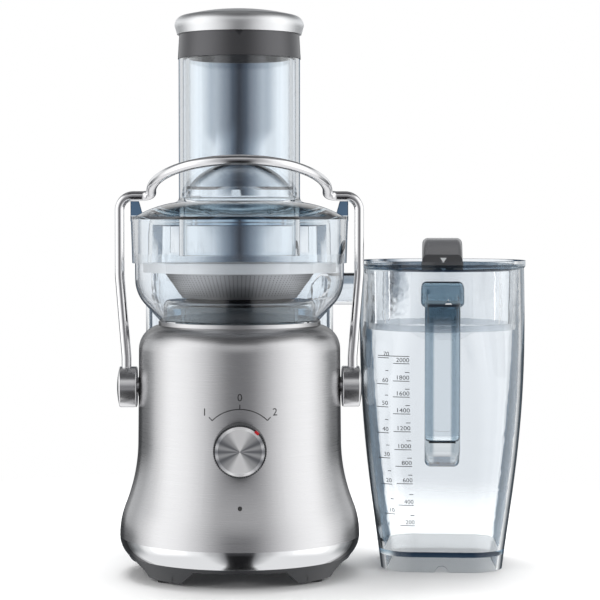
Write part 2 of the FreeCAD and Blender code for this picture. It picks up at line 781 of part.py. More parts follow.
def cutting_disc():
    """Shredding disc with staggered rows of teeth round a domed hub."""
    z0 = BASKET_Z + BASKET_T
    z1 = z0 + DISC_T
    shoulder_z = z1 + DISC_HUB_H / 2
    cap = turned((0, z0), (DISC_HUB_R, z0), (DISC_HUB_R, shoulder_z),
                 crowned(DISC_HUB_R, shoulder_z, DISC_HUB_H / 2))
    teeth = []
    for row in range(TOOTH_ROWS):
        radius = TOOTH_FIRST_R + row * TOOTH_ROW_STEP
        count = int(2 * math.pi * radius / TOOTH_PITCH)
        teeth += [spun(copy, 180 * row / count) for copy in around(tooth(radius, z1), count)]
    return disc(DISC_R, z0, z1).fuse([cap] + teeth).removeSplitter()


# Bowl and cover

def bowl_form(inset):
    """Everything inside the bowl's wall, drawn in by an inset square to the surface."""
    slope = math.radians(BOWL_SLOPE)
    bend = (BOWL_R - BOWL_BEND_R, 0)
    touch_r = bend[0] + BOWL_BEND_R * math.sin(slope)
    bend_z = BODY_Z1 + (touch_r - BOWL_FOOT_R) * math.tan(slope) + BOWL_BEND_R * math.cos(slope)
    floor_z = BODY_Z1 + inset
    floor_r = BOWL_FOOT_R + (inset - inset / math.cos(slope)) / math.tan(slope)
    radius = BOWL_BEND_R - inset
    first = (bend[0] + radius * math.sin(slope), bend_z - radius * math.cos(slope))
    return turned(
        (0, floor_z), (floor_r, floor_z), first,
        swing((bend[0], bend_z), radius, BOWL_SLOPE - 90, 0),
        (BOWL_R - inset, BOWL_Z1), (0, BOWL_Z1),
    )


def filter_bowl():
    """Clear bowl with a raised hub and the juice nozzle on its right."""
    hub_z = BODY_Z1 + HUB_H
    hub = turned(
        (0, BODY_Z1), (HUB_R, BODY_Z1), (HUB_R, hub_z - HUB_ROUND),
        swing((HUB_R - HUB_ROUND, hub_z - HUB_ROUND), HUB_ROUND, 0, 90), (0, hub_z),
    )
    hole_r = TURRET_R + HUB_PLAY
    hollow = ring(HUB_R - BOWL_WALL, hole_r + BOWL_WALL, BODY_Z1 - CUT_OVER, hub_z - BOWL_WALL)
    inside = bowl_form(BOWL_WALL)
    spout = sideways(NOZZLE_R, 0, NOZZLE_X, NOZZLE_Y, NOZZLE_Z).cut(inside)
    spout = spout.common(block(0, NOZZLE_X, 0, FOOT_R, BODY_Z1, BOWL_Z1))
    bowl = bowl_form(0).cut(inside).fuse([hub, spout])
    bore = sideways(NOZZLE_R - NOZZLE_WALL, HUB_R, NOZZLE_X + CUT_OVER, NOZZLE_Y, NOZZLE_Z)
    return bowl.cut([hollow, disc(hole_r, BODY_Z1 - CUT_OVER, BOWL_Z1), bore]).removeSplitter()


def hood_plan(inset, z0, z1):
    """Upright prism of the rear hood, from the motor axis to its back wall."""
    side = HOOD_SIDE - inset
    back = HOOD_BACK - inset
    corner = HOOD_CORNER_R - inset
    prism = extruded(
        z1 - z0,
        (-side, 0), (side, 0), (side, back - corner),
        swing((side - corner, back - corner), corner, 0, 90),
        (corner - side, back),
        swing((corner - side, back - corner), corner, 90, 180),
    )
    prism.rotate(ORIGIN, RIGHT, -90)
    prism.translate(UP * ((z0 + z1) / 2))
    return prism


def cover_ear():
    """Fin on the cover's right rim that the locking arm bears on."""
    outer = LIP_R - LIP_PROUD
    fin = extruded(
        EAR_DEPTH,
        (outer - EAR_W, LIP_Z1 - LIP_H / 2), (outer, LIP_Z1 - LIP_H / 2), (outer, ARM_TOP_Z),
        (outer - EAR_TOP_W, ARM_TOP_Z),
    )
    reach = ARM_TOP_Z - PIVOT_Z - ROD_R - CLEAR
    return fin.common(sideways(reach, 0, FOOT_R, 0, PIVOT_Z))


def cover_shell():
    """Dome, skirt and chute as one turned form, before the hood and its window."""
    foot = CHUTE_R + CHUTE_FLARE
    slope_mid = ((LIP_R - LIP_H + foot) / 2, (LIP_Z1 + DOME_Z1) / 2 + DOME_BULGE)
    outer = turned(
        (CHUTE_BORE_R, SKIRT_Z0), (SKIRT_R, SKIRT_Z0), (SKIRT_R + SKIRT_FLARE, SKIRT_Z1), (LIP_R, SKIRT_Z1),
        (LIP_R, LIP_Z1), (LIP_R - LIP_H, LIP_Z1), (slope_mid, (foot, DOME_Z1)),
        swing((foot, DOME_Z1 + CHUTE_FLARE), CHUTE_FLARE, 270, 180),
        (CHUTE_R, CHUTE_Z1), (CHUTE_BORE_R, CHUTE_Z1),
    )
    seat_r = BOWL_INNER_R
    roof_z = LIP_Z1 - COVER_WALL
    inner_mid = ((seat_r + CHUTE_R) / 2, (roof_z + DOME_Z1 - COVER_WALL) / 2 + DOME_BULGE)
    cavity = turned(
        (CHUTE_R, SKIRT_Z0 - CUT_OVER), (SKIRT_INNER_R, SKIRT_Z0 - CUT_OVER), (SKIRT_INNER_R, BOWL_Z1),
        (seat_r, BOWL_Z1), (seat_r, roof_z), (inner_mid, (CHUTE_R, DOME_Z1 - COVER_WALL)),
    )
    return outer.cut([cavity, disc(CHUTE_R + CUT_OVER, SKIRT_Z0 - CUT_OVER, CHUTE_Z0)])


def juicer_cover():
    """Clear cover: chute, dome, skirt, two ears and the hood that leads pulp to the bin."""
    bowl_room = disc(SKIRT_R, HOOD_Z0 - CUT_OVER, HOOD_Z1 + CUT_OVER)
    roof = HOOD_Z1 - COVER_WALL
    hood = hood_plan(0, HOOD_Z0, HOOD_Z1).cut(bowl_room)
    room = hood_plan(COVER_WALL, HOOD_Z0 - CUT_OVER, roof).cut(bowl_room)
    sill = BOWL_Z1 + WINDOW_SILL
    window = block(-WINDOW_SIDE, WINDOW_SIDE, CHUTE_R, HOOD_BACK - HOOD_CORNER_R, sill, roof)
    window = window.cut(disc(CHUTE_R + COVER_WALL, 0, CHUTE_Z1))
    ear = cover_ear()
    cover = cover_shell().fuse([hood, ear, mirrored(ear)])
    return cover.cut([room, window]).removeSplitter()


# Locking arm

def rounded_path(points, radii):
    """Wire of straight runs joined by tangent arcs, one radius for each inner point."""
    edges = []
    here = points[0]
    for i in range(1, len(points) - 1):
        corner = points[i]
        back = (points[i - 1] - corner).normalize()
        ahead = (points[i + 1] - corner).normalize()
        half = back.getAngle(ahead) / 2
        trim = radii[i - 1] / math.tan(half)
        first = corner + back * trim
        last = corner + ahead * trim
        middle = (back + ahead).normalize()
        crown = corner + middle * (radii[i - 1] / math.sin(half) - radii[i - 1])
        if (first - here).Length > 1e-6:
            edges.append(Part.makeLine(here, first))
        edges.append(Part.Arc(first, crown, last).toShape())
        here = last
    edges.append(Part.makeLine(here, points[-1]))
    return edges


def locking_arm():
    """Bent chrome rod: two legs, shoulders and a loop round the front of the chute."""
    tilt = math.radians(LOOP_TILT)
    forward = FreeCAD.Vector(0, -math.cos(tilt), math.sin(tilt))
    foot_z = PIVOT_Z + HUB_DRUM_R - ROD_SEAT
    loop_start = FreeCAD.Vector(LOOP_R, 0, ARM_TOP_Z) + forward * (KINK_R + CUT_OVER)
    half = rounded_path(
        [
            FreeCAD.Vector(LEG_LOW_X, 0, foot_z),
            FreeCAD.Vector(LEG_LOW_X, 0, foot_z + ROD_SEAT + 2 * ROD_R),
            FreeCAD.Vector(LEG_HIGH_X, 0, LEG_KNEE_Z),
            FreeCAD.Vector(LEG_HIGH_X, 0, ARM_TOP_Z),
            FreeCAD.Vector(LOOP_R, 0, ARM_TOP_Z),
            loop_start,
        ],
        [LEG_FOOT_BEND_R, LEG_KNEE_BEND_R, SHOULDER_BEND_R, KINK_R],
    )
    apex = FreeCAD.Vector(0, loop_start.y, loop_start.z) + forward * LOOP_R
    other_start = FreeCAD.Vector(-loop_start.x, loop_start.y, loop_start.z)
    loop = Part.Arc(loop_start, apex, other_start).toShape()
    other_half = [mirrored(edge) for edge in half]
    path = Part.Wire(Part.sortEdges(half + [loop] + other_half)[0])
    section = Part.Wire(Part.makeCircle(ROD_R, FreeCAD.Vector(LEG_LOW_X, 0, foot_z), UP))
    return path.makePipeShell([section], True, False)


def facing_right(shape):
    """Lay a piece turned about Z along X, at the arm's pivot."""
    laid = shape.copy()
    laid.rotate(ORIGIN, BACK, 90)
    laid.translate(UP * PIVOT_Z)
    return laid


def arm_hub():
    """Chrome drum on the right pivot, bored for its pin and for the leg."""
    edge = HUB_DRUM_R - DRUM_ROUND
    drum = turned(
        (0, DRUM_IN_X), (edge, DRUM_IN_X),
        swing((edge, DRUM_IN_X + DRUM_ROUND), DRUM_ROUND, 270, 360),
        (HUB_DRUM_R, DRUM_OUT_X - DRUM_ROUND),
        swing((edge, DRUM_OUT_X - DRUM_ROUND), DRUM_ROUND, 0, 90),
        crowned(edge, DRUM_OUT_X, DRUM_DOME),
    )
    drum = facing_right(drum)
    bore = sideways(PIN_R + FIT, 0, PIN_END_X + FIT, 0, PIVOT_Z)
    seat_z = PIVOT_Z + HUB_DRUM_R - ROD_SEAT
    socket = post(ROD_R + FIT, LEG_LOW_X, 0, seat_z, seat_z + HUB_DRUM_R)
    return drum.cut([bore, socket])


def pivot_pin():
    """Right pivot pin: head inside the sleeve, collar against the body, journal in the drum."""
    head_x = HOUSING_INNER_R - PIN_HEAD_T
    journal = sideways(PIN_R, head_x, PIN_END_X, 0, PIVOT_Z)
    head = sideways(PIN_HEAD_R, head_x, HOUSING_R, 0, PIVOT_Z)
    head = head.common(disc(HOUSING_INNER_R - FIT, 0, BODY_Z1))
    collar = sideways(PIN_COLLAR_R, 0, DRUM_IN_X - CLEAR, 0, PIVOT_Z).cut(body_form(-FIT))
    return journal.fuse([head, collar]).removeSplitter()


def interlock_switch():
    """Safety switch whose plunger rests on the right pivot's head."""
    head_x = HOUSING_INNER_R - PIN_HEAD_T
    face_x = head_x - PLUNGER_L
    z0 = TOP_BRACKET_Z + BRACKET_T
    half = INTERLOCK_W / 2
    case = block(face_x - INTERLOCK_L, face_x, -half, half, z0, z0 + INTERLOCK_H)
    plunger = sideways(PLUNGER_R, face_x - CUT_OVER, head_x, 0, z0 + INTERLOCK_H / 2)
    return case.fuse(plunger).removeSplitter()


# Controls

def dial_bush():
    """Bush that clamps the switch to the body and carries the dial's spindle."""
    flange = across(BUSH_FLANGE_R, DIAL_Z, -(WAIST_R + DIAL_GAP), 0).cut(body_form(-FIT))
    neck = across(BUSH_NECK_R, DIAL_Z, -WAIST_R, SWITCH_Y0)
    bore = across(SPINDLE_R + FIT, DIAL_Z, -FOOT_R, 0)
    return flange.fuse(neck).cut(bore).removeSplitter()


def speed_switch():
    """Rotary switch behind the dial."""
    case = switch_form(0)
    return case.cut(across(SPINDLE_R + FIT, DIAL_Z, -FOOT_R, SWITCH_Y0 + SPINDLE_BITE + FIT))


def facing_front(shape):
    """Lay a piece turned about Z on the dial's axis, z = 0 at the back of the knob."""
    laid = shape.copy()
    laid.rotate(ORIGIN, RIGHT, 90)
    laid.translate(FreeCAD.Vector(0, -DIAL_BACK, DIAL_Z))
    return laid


def pointer_block(grow):
    """The pointer's space in the knob, grown on every side."""
    half = POINTER_W / 2 + grow
    mark = block(-half, half, POINTER_IN_R - grow, POINTER_OUT_R + grow,
                 DIAL_DEPTH - POINTER_L - grow, DIAL_DEPTH - FACE_EDGE_T + grow)
    return facing_front(spun(mark, -POINTER_ANGLE))


def speed_dial():
    """Tapered knob with its spindle."""
    front = DIAL_DEPTH - FACE_T
    knob = turned(
        (0, KNOB_HOLLOW_H), (KNOB_HOLLOW_R, KNOB_HOLLOW_H), (KNOB_HOLLOW_R, 0), (KNOB_R, 0),
        (KNOB_FRONT_R, front), (0, front),
    )
    spindle = across(SPINDLE_R, DIAL_Z, -(DIAL_BACK + KNOB_HOLLOW_H + CUT_OVER), SWITCH_Y0 + SPINDLE_BITE)
    return facing_front(knob).fuse(spindle).removeSplitter().cut(pointer_block(FIT))


def dial_face():
    """Spun metal face with a bevelled edge."""
    back = DIAL_DEPTH - FACE_T
    face = turned((0, back), (FACE_EDGE_R, back), (FACE_EDGE_R, back + FACE_EDGE_T), (FACE_R, DIAL_DEPTH),
                  (0, DIAL_DEPTH))
    return facing_front(face).cut(pointer_block(FIT))


def indicator_lens():
    """Overload lamp: a lens through the body with a flange behind it."""
    stem = across(LENS_R, LENS_Z, -FOOT_R, 0).common(body_form(-LENS_PROUD))
    flange = across(LENS_FLANGE_R, LENS_Z, -FOOT_R, 0).common(body_form(SHEET + FIT))
    return stem.fuse(flange).cut(body_form(LENS_DEPTH)).removeSplitter()


def control_board():
    """Circuit board on the back of the sleeve, with three capacitors."""
    board = block(-BOARD_W / 2, BOARD_W / 2, BOARD_Y0, BOARD_Y1, BOARD_Z, BOARD_Z + BOARD_H)
    cans = []
    for step in (-1, 0, 1):
        spot = FreeCAD.Vector(step * BOARD_W / 3, BOARD_Y1 - BOARD_T / 2, BOARD_Z + BOARD_H / 2)
        cans.append(Part.makeCylinder(CAPACITOR_R, CAPACITOR_H + BOARD_T / 2, spot, BACK))
    return board.fuse(cans).removeSplitter()


def cord_grommet():
    """Rubber bush for the cord at the back of the body."""
    stem = across(GROMMET_R, GROMMET_Z, WAIST_R - SHEET, FOOT_R)
    flange = across(GROMMET_FLANGE_R, GROMMET_Z, WAIST_R, FOOT_R + GROMMET_PROUD)
    flange = flange.cut(body_form(-FIT)).common(body_form(-GROMMET_PROUD))
    stem = stem.common(body_form(-GROMMET_PROUD))
    return stem.fuse(flange).cut(across(CORD_HOLE_R, GROMMET_Z, 0, 2 * FOOT_R)).removeSplitter()


# Pusher

def pusher_tube():
    """Hollow pusher with a domed floor."""
    inner = PUSHER_R - PUSHER_WALL
    spring = PUSHER_Z0 + PUSHER_FLOOR_RISE
    return turned(
        (0, spring + PUSHER_DOME), crowned(inner, spring, PUSHER_DOME, outwards=True),
        (inner, PUSHER_Z0), (PUSHER_R, PUSHER_Z0), (PUSHER_R, COLLAR_Z1), (inner, COLLAR_Z1),
        (inner, spring + PUSHER_WALL), crowned(inner, spring + PUSHER_WALL, PUSHER_DOME),
    )


def pusher_collar():
    """Dark collar that rests on the chute's mouth, with a finger notch at the front."""
    collar = turned((PUSHER_R + FIT, CHUTE_Z1), (COLLAR_LOW_R, CHUTE_Z1), (COLLAR_TOP_R, COLLAR_Z1),
                    (PUSHER_R + FIT, COLLAR_Z1))
    notch = extruded(COLLAR_LOW_R, (-NOTCH_W / 2, COLLAR_Z1 + CUT_OVER), (NOTCH_W / 2, COLLAR_Z1 + CUT_OVER),
                     (0, COLLAR_Z1 - NOTCH_H))
    notch.translate(BACK * (NOTCH_DEPTH - COLLAR_TOP_R - COLLAR_LOW_R / 2))
    return collar.cut(notch)


def pusher_cap():
    """Polished steel cap, hollow below."""
    z0 = COLLAR_Z1
    edge_z = z0 + CAP_EDGE_H
    crown_z = z0 + CAP_H - CAP_CROWN_H
    low_r = CAP_R - CAP_WALL
    bend = ((CAP_R + CAP_CROWN_R) / 2 + CAP_EDGE_BULGE, (edge_z + crown_z) / 2 + CAP_EDGE_BULGE)
    return turned(
        (low_r, z0), (CAP_R, edge_z), (bend, (CAP_CROWN_R, crown_z)),
        crowned(CAP_CROWN_R, crown_z, CAP_CROWN_H),
        (0, z0 + CAP_H - CAP_WALL),
        crowned(CAP_CROWN_R - CAP_WALL, crown_z - CAP_WALL, CAP_CROWN_H, outwards=True),
        (low_r - CAP_WALL, edge_z), (PUSHER_R, edge_z), (PUSHER_R, z0),
    )


# Pulp bin

def bin_prism(inset, z0, z1):
    """Upright prism of the bin: hollow front, straight sides, round back corners."""
    front = BIN_FRONT_R + inset
    side = BIN_SIDE - inset
    back = BIN_BACK - inset
    corner = BIN_CORNER_R - inset
    nose_y = math.sqrt(front ** 2 - side ** 2)
    prism = extruded(
        z1 - z0,
        (side, nose_y), (side, back - corner),
        swing((side - corner, back - corner), corner, 0, 90),
        (corner - side, back),
        swing((corner - side, back - corner), corner, 90, 180),
        (-side, nose_y),
        ((0, front), (side, nose_y)),
    )
    prism.rotate(ORIGIN, RIGHT, -90)
    prism.translate(UP * ((z0 + z1) / 2))
    return prism


def pulp_bin():
    """Clear bin that wraps the back of the body."""
    bin_box = bin_prism(0, 0, BIN_H)
    uprights = [e for e in bin_box.Edges if e.BoundBox.ZLength > BIN_H / 2 and e.BoundBox.YMax < BIN_FRONT_R]
    bin_box = bin_box.makeFillet(BIN_FRONT_ROUND, uprights)
    room = bin_prism(BIN_WALL, BIN_FLOOR, BIN_H + CUT_OVER)
    uprights = [e for e in room.Edges if e.BoundBox.ZLength > BIN_H / 2 and e.BoundBox.YMax < BIN_FRONT_R]
    return bin_box.cut(room.makeFillet(BIN_FRONT_ROUND - BIN_WALL, uprights))


# Jug

def rounded_square(half, corner, z):
    """Level wire of a square with round corners."""
    flat = half - corner
    edges = []
    for turn in range(4):
        angle = 90 * turn
        start = FreeCAD.Vector(half, -flat, z)
        stop = FreeCAD.Vector(half, flat, z)
        bend = FreeCAD.Vector(flat + corner * math.sqrt(0.5), flat + corner * math.sqrt(0.5), z)
        end = FreeCAD.Vector(flat, half, z)
        side = [Part.makeLine(start, stop), Part.Arc(stop, bend, end).toShape()]
        edges += [spun(edge, angle) for edge in side]
    return Part.Wire(edges)


def jug_form(inset, z0, z1):
    """Everything inside the jug's wall between two levels, square below and round above."""
    sections = [
        (0, JUG_FOOT_W, JUG_FOOT_CORNER_R),
        (JUG_LOW_Z, JUG_LOW_W, JUG_LOW_CORNER_R),
        (JUG_MID_Z, JUG_MID_W, JUG_MID_CORNER_R),
        (JUG_SHOULDER_Z, JUG_SHOULDER_W, JUG_SHOULDER_CORNER_R),
        (JUG_H, JUG_MOUTH_W, JUG_MOUTH_W - CUT_OVER),
    ]
    wires = [rounded_square(half - inset, corner - inset, z) for z, half, corner in sections]
    whole = Part.makeLoft(wires, True, False)
    room = 2 * JUG_MOUTH_W
    return whole.common(block(-room, room, -room, room, z0, z1))


def handle():
    """Jug handle: a bridge at the top and a rounded bar that turns down and back to the wall."""
    front = -GRIP_OUT
    middle = front + GRIP_T / 2
    bar_z = GRIP_TOP_Z - GRIP_T / 2
    path = rounded_path(
        [
            FreeCAD.Vector(0, -JUG_LOW_W, bar_z),
            FreeCAD.Vector(0, middle, bar_z),
            FreeCAD.Vector(0, middle, GRIP_BOTTOM_Z),
            FreeCAD.Vector(0, -JUG_FOOT_W, GRIP_LOW_Z),
        ],
        [GRIP_BEND_R, GRIP_BEND_R],
    )
    section = block(-GRIP_W / 2, GRIP_W / 2, -JUG_LOW_W - GRIP_T, -JUG_LOW_W,
                    GRIP_TOP_Z - GRIP_T, GRIP_TOP_Z)
    section = section.makeFillet(GRIP_EDGE, [e for e in section.Edges if e.BoundBox.YLength > GRIP_EDGE])
    end = max(section.Faces, key=lambda face: face.CenterOfMass.y)
    bar = Part.Wire(path).makePipeShell([end.OuterWire], True, False)
    bridge = block(-GRIP_BRIDGE_W / 2, GRIP_BRIDGE_W / 2, front + GRIP_EDGE, -JUG_LOW_W,
                   GRIP_TOP_Z - GRIP_BRIDGE_H, GRIP_TOP_Z)
    rounded = [e for e in bridge.Edges if e.BoundBox.YMin < -JUG_LOW_W - GRIP_EDGE]
    bridge = bridge.makeFillet(GRIP_EDGE, rounded)
    panel = block(-PANEL_W / 2, PANEL_W / 2, front - CUT_OVER, front + PANEL_DEPTH,
                  GRIP_BOTTOM_Z + PANEL_END, GRIP_TOP_Z - GRIP_BRIDGE_H - PANEL_END)
    panel = panel.makeFillet(PANEL_ROUND, [e for e in panel.Edges if e.BoundBox.YLength > PANEL_DEPTH])
    return bar.fuse(bridge).cut(panel)


def on_jug(shape):
    """Carry a piece from the jug's own axis to where the jug stands."""
    stood = spun(shape, JUG_TURN)
    stood.translate(FreeCAD.Vector(JUG_X, JUG_Y, 0))
    return stood


def inlet():
    """Slot through the jug's left wall, round the nozzle and lengthened upwards."""
    radius = NOZZLE_R + INLET_PLAY
    x0 = NOZZLE_X - NOZZLE_R
    x1 = JUG_X - BAFFLE_Y
    low = sideways(radius, x0, x1, NOZZLE_Y, NOZZLE_Z)
    high = sideways(radius, x0, x1, NOZZLE_Y, NOZZLE_Z + INLET_SLOT)
    middle = block(x0, x1, NOZZLE_Y - radius, NOZZLE_Y + radius, NOZZLE_Z, NOZZLE_Z + INLET_SLOT)
    return low.fuse([high, middle]).removeSplitter()


def jug():
    """Clear jug with its handle, rim bead, raised floor and juice inlet."""
    bead = turned((JUG_MOUTH_W - JUG_WALL, JUG_H - JUG_BEAD_H), (JUG_MOUTH_W, JUG_H - JUG_BEAD_H),
                  (JUG_MOUTH_W + JUG_BEAD, JUG_H - JUG_BEAD_H / 2), (JUG_MOUTH_W + JUG_BEAD, JUG_H),
                  (JUG_MOUTH_W - JUG_WALL, JUG_H))
    inside = jug_form(JUG_WALL, JUG_FLOOR_Z, JUG_H)
    under = jug_form(JUG_WALL, 0, JUG_FLOOR_Z - JUG_WALL)
    notch = across(JUG_NOTCH_R, 0, -JUG_LOW_W, 0)
    shell = jug_form(0, 0, JUG_H).fuse([bead, handle()])
    shell = shell.cut([inside, under, notch])
    return on_jug(shell).cut(inlet()).removeSplitter()


def jug_lid():
    """Sunk lid with a deep ribbed skirt and a window for the nozzle."""
    inner = LID_R - LID_WALL
    top = JUG_H + LID_FLANGE_T
    rim = JUG_MOUTH_W + JUG_BEAD
    lid = turned(
        (0, PLATE_Z0), (inner, PLATE_Z0), (inner, LID_Z0), (LID_R, LID_Z0), (LID_R, JUG_H), (rim, JUG_H),
        (rim, top), (inner, top), (inner, PLATE_Z1), (0, PLATE_Z1),
    )
    rib = block(inner - LID_RIB_DEPTH, LID_R - LID_WALL / 2, -LID_RIB_W / 2, LID_RIB_W / 2,
                LID_Z0, PLATE_Z1 - FIT)
    lid = lid.fuse([spun(copy, 180 / LID_RIBS) for copy in around(rib, LID_RIBS)]).removeSplitter()
    return on_jug(lid).cut(sideways(NOZZLE_R, NOZZLE_X - NOZZLE_R, JUG_X - BAFFLE_Y, NOZZLE_Y, NOZZLE_Z))


def lid_seal():
    """Soft ring under the lid's skirt."""
    return on_jug(ring(LID_R, LID_R - LID_WALL, LID_Z0 - SEAL_RING_H, LID_Z0))


def lid_grip():
    """Arched strap across the lid."""
    side_z = PLATE_Z1 + STRAP_SIDE_H
    crown = PLATE_Z1 + STRAP_H
    inner = STRAP_HALF - STRAP_T
    strap = extruded(
        STRAP_W,
        (STRAP_HALF, PLATE_Z1), (STRAP_HALF, side_z), ((0, crown), (-STRAP_HALF, side_z)),
        (-STRAP_HALF, PLATE_Z1), (-inner, PLATE_Z1), (-inner, side_z - STRAP_T / 2),
        ((0, crown - STRAP_T), (inner, side_z - STRAP_T / 2)), (inner, PLATE_Z1),
    )
    long_edges = [e for e in strap.Edges if e.BoundBox.XLength > STRAP_HALF]
    crests = [e for e in long_edges if e.BoundBox.ZMax > crown - CUT_OVER]
    strap = strap.makeFillet(STRAP_ROUND, crests)
    strap.rotate(ORIGIN, UP, 90)
    return on_jug(strap)


def froth_separator():
    """Baffle that hangs under the lid and holds back the foam."""
    half = BAFFLE_W / 2
    low = PLATE_Z0 - BAFFLE_H
    c = BAFFLE_CHAMFER
    baffle = extruded(BAFFLE_T, (-half, PLATE_Z0), (-half, low + c / 2), (c - half, low), (half - c, low),
                      (half, low + c / 2), (half, PLATE_Z0))
    baffle.translate(BACK * BAFFLE_Y)
    return on_jug(baffle)


def build():
    """Make every piece and write it under its own name."""
    os.makedirs("parts", exist_ok=True)
    hub = arm_hub()
    pin = pivot_pin()
    pieces = {
        "body_shell": [body_shell()],
        "trim_band": [trim_band()],
        "base_pan": [base_pan()],
        "base_feet": base_feet(),
        "base_screws": base_screws(),
        "inner_housing": [inner_housing()],
        "drive_deck": [drive_deck()],
        "shaft_seal": [shaft_seal()],
        "lower_bracket": [lower_bracket()],
        "upper_bracket": [bracket(TOP_BRACKET_Z)],
        "lower_bearing": [bearing(LOW_BRACKET_Z)],
        "upper_bearing": [bearing(TOP_BRACKET_Z)],
        "motor_mounts": motor_mounts(),
        "motor_stator": [motor_stator()],
        "motor_windings": motor_windings(),
        "brush_holders": brush_holders(),
        "pivot_pins": [pin, mirrored(pin)],
        "interlock_switch": [interlock_switch()],
        "dial_bush": [dial_bush()],
        "speed_switch": [speed_switch()],
        "indicator_lens": [indicator_lens()],
        "control_board": [control_board()],
        "cord_grommet": [cord_grommet()],
        "filter_bowl": [filter_bowl()],
        "juicer_cover": [juicer_cover()],
        "motor_shaft": [motor_shaft()],
        "motor_rotor": [motor_rotor()],
        "commutator": [commutator()],
        "cooling_fan": [cooling_fan()],
        "drive_coupling": [drive_coupling()],
        "filter_basket": [filter_basket()],
        "basket_rim": [basket_rim()],
        "cutting_disc": [cutting_disc()],
        "locking_arm": [locking_arm()],
        "arm_hub_right": [hub],
        "arm_hub_left": [mirrored(hub)],
        "speed_dial": [speed_dial()],
        "dial_face": [dial_face()],
        "dial_pointer": [pointer_block(0)],
        "pusher_tube": [pusher_tube()],
        "pusher_collar": [pusher_collar()],
        "pusher_cap": [pusher_cap()],
        "pulp_bin": [pulp_bin()],
        "jug": [jug()],
        "jug_lid": [jug_lid()],
        "lid_seal": [lid_seal()],
        "lid_grip": [lid_grip()],
        "froth_separator": [froth_separator()],
    }
    for name, solids in pieces.items():
        save(name, *solids)
        volume = sum(solid.Volume for solid in solids)
        whole = all(solid.isValid() for solid in solids)
        print(f"{name}: {volume / 1000:.2f} cm3, {sum(len(s.Solids) for s in solids)} solid, valid {whole}")


build()
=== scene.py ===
"""Centrifugal juicer with its pulp bin and juice jug, dressed for a product picture on white.

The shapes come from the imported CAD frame. Lengths in the classes are millimetres.
"""

import json
import logging
import math
from dataclasses import dataclass
from enum import Enum
from typing import Any, ClassVar, Sequence

import bmesh
import bpy
from mathutils import Matrix, Vector
from mathutils.bvhtree import BVHTree

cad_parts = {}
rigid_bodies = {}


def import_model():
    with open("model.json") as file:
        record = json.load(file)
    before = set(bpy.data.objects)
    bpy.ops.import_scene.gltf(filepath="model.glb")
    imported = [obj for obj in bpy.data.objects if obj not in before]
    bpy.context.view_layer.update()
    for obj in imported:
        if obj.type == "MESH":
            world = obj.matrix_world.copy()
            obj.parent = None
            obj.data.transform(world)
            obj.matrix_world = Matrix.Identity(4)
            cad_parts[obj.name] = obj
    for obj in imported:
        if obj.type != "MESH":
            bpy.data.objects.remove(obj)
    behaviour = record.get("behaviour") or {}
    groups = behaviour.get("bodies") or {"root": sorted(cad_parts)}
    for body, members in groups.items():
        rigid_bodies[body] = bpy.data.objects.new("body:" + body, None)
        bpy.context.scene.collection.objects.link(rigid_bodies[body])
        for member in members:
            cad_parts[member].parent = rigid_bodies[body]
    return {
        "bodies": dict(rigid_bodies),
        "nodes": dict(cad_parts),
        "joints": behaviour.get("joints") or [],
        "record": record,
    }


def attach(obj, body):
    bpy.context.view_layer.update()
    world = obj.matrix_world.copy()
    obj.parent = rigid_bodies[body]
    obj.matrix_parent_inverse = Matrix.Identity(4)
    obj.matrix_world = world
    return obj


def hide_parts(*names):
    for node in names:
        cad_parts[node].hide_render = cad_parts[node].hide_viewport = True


LOG = logging.getLogger("juicer")
MM = 0.001
MERGE = 1e-6
DIAL_Z = 106.8
JUG_AXIS = (164.0, 36.0)

Pair = tuple[float, float]
Triple = tuple[float, float, float]
Colour = Triple
Stops = Sequence[tuple[float, Colour]]
Pieces = dict[str, bpy.types.Object]


class Term:
    """A shader value that takes part in sums, products and powers."""

    def __init__(self, tree: bpy.types.NodeTree, socket: bpy.types.NodeSocket) -> None:
        """Keeps the tree and the output socket that carries the value."""
        self.tree = tree
        self.socket = socket

    @staticmethod
    def feed(tree: bpy.types.NodeTree, slot: bpy.types.NodeSocket, value: Any) -> None:
        """Links a term to an input, or sets a plain value on it.

        Args:
            tree: the node tree that holds the input.
            slot: the input.
            value: a Term, a number or a tuple.
        """
        if isinstance(value, Term):
            tree.links.new(value.socket, slot)
        else:
            slot.default_value = value

    def maths(self, operation: str, first: Any, second: Any = 0.0) -> "Term":
        """One math node.

        Args:
            operation: the node's operation.
            first: the first operand.
            second: the second operand.

        Returns:
            The result as a term.
        """
        node = self.tree.nodes.new("ShaderNodeMath")
        node.operation = operation
        Term.feed(self.tree, node.inputs[0], first)
        Term.feed(self.tree, node.inputs[1], second)
        return Term(self.tree, node.outputs[0])

    def __add__(self, other: Any) -> "Term":
        """Sum."""
        return self.maths("ADD", self, other)

    def __radd__(self, other: Any) -> "Term":
        """Sum with a plain number first."""
        return self.maths("ADD", other, self)

    def __sub__(self, other: Any) -> "Term":
        """Difference."""
        return self.maths("SUBTRACT", self, other)

    def __rsub__(self, other: Any) -> "Term":
        """Difference with a plain number first."""
        return self.maths("SUBTRACT", other, self)

    def __mul__(self, other: Any) -> "Term":
        """Product."""
        return self.maths("MULTIPLY", self, other)

    def __rmul__(self, other: Any) -> "Term":
        """Product with a plain number first."""
        return self.maths("MULTIPLY", other, self)

    def __truediv__(self, other: Any) -> "Term":
        """Quotient."""
        return self.maths("DIVIDE", self, other)

    def __rtruediv__(self, other: Any) -> "Term":
        """Quotient with a plain number first."""
        return self.maths("DIVIDE", other, self)

    def __pow__(self, other: Any) -> "Term":
        """Power."""
        return self.maths("POWER", self, other)

    def size(self) -> "Term":
        """Absolute value."""
        return self.maths("ABSOLUTE", self)


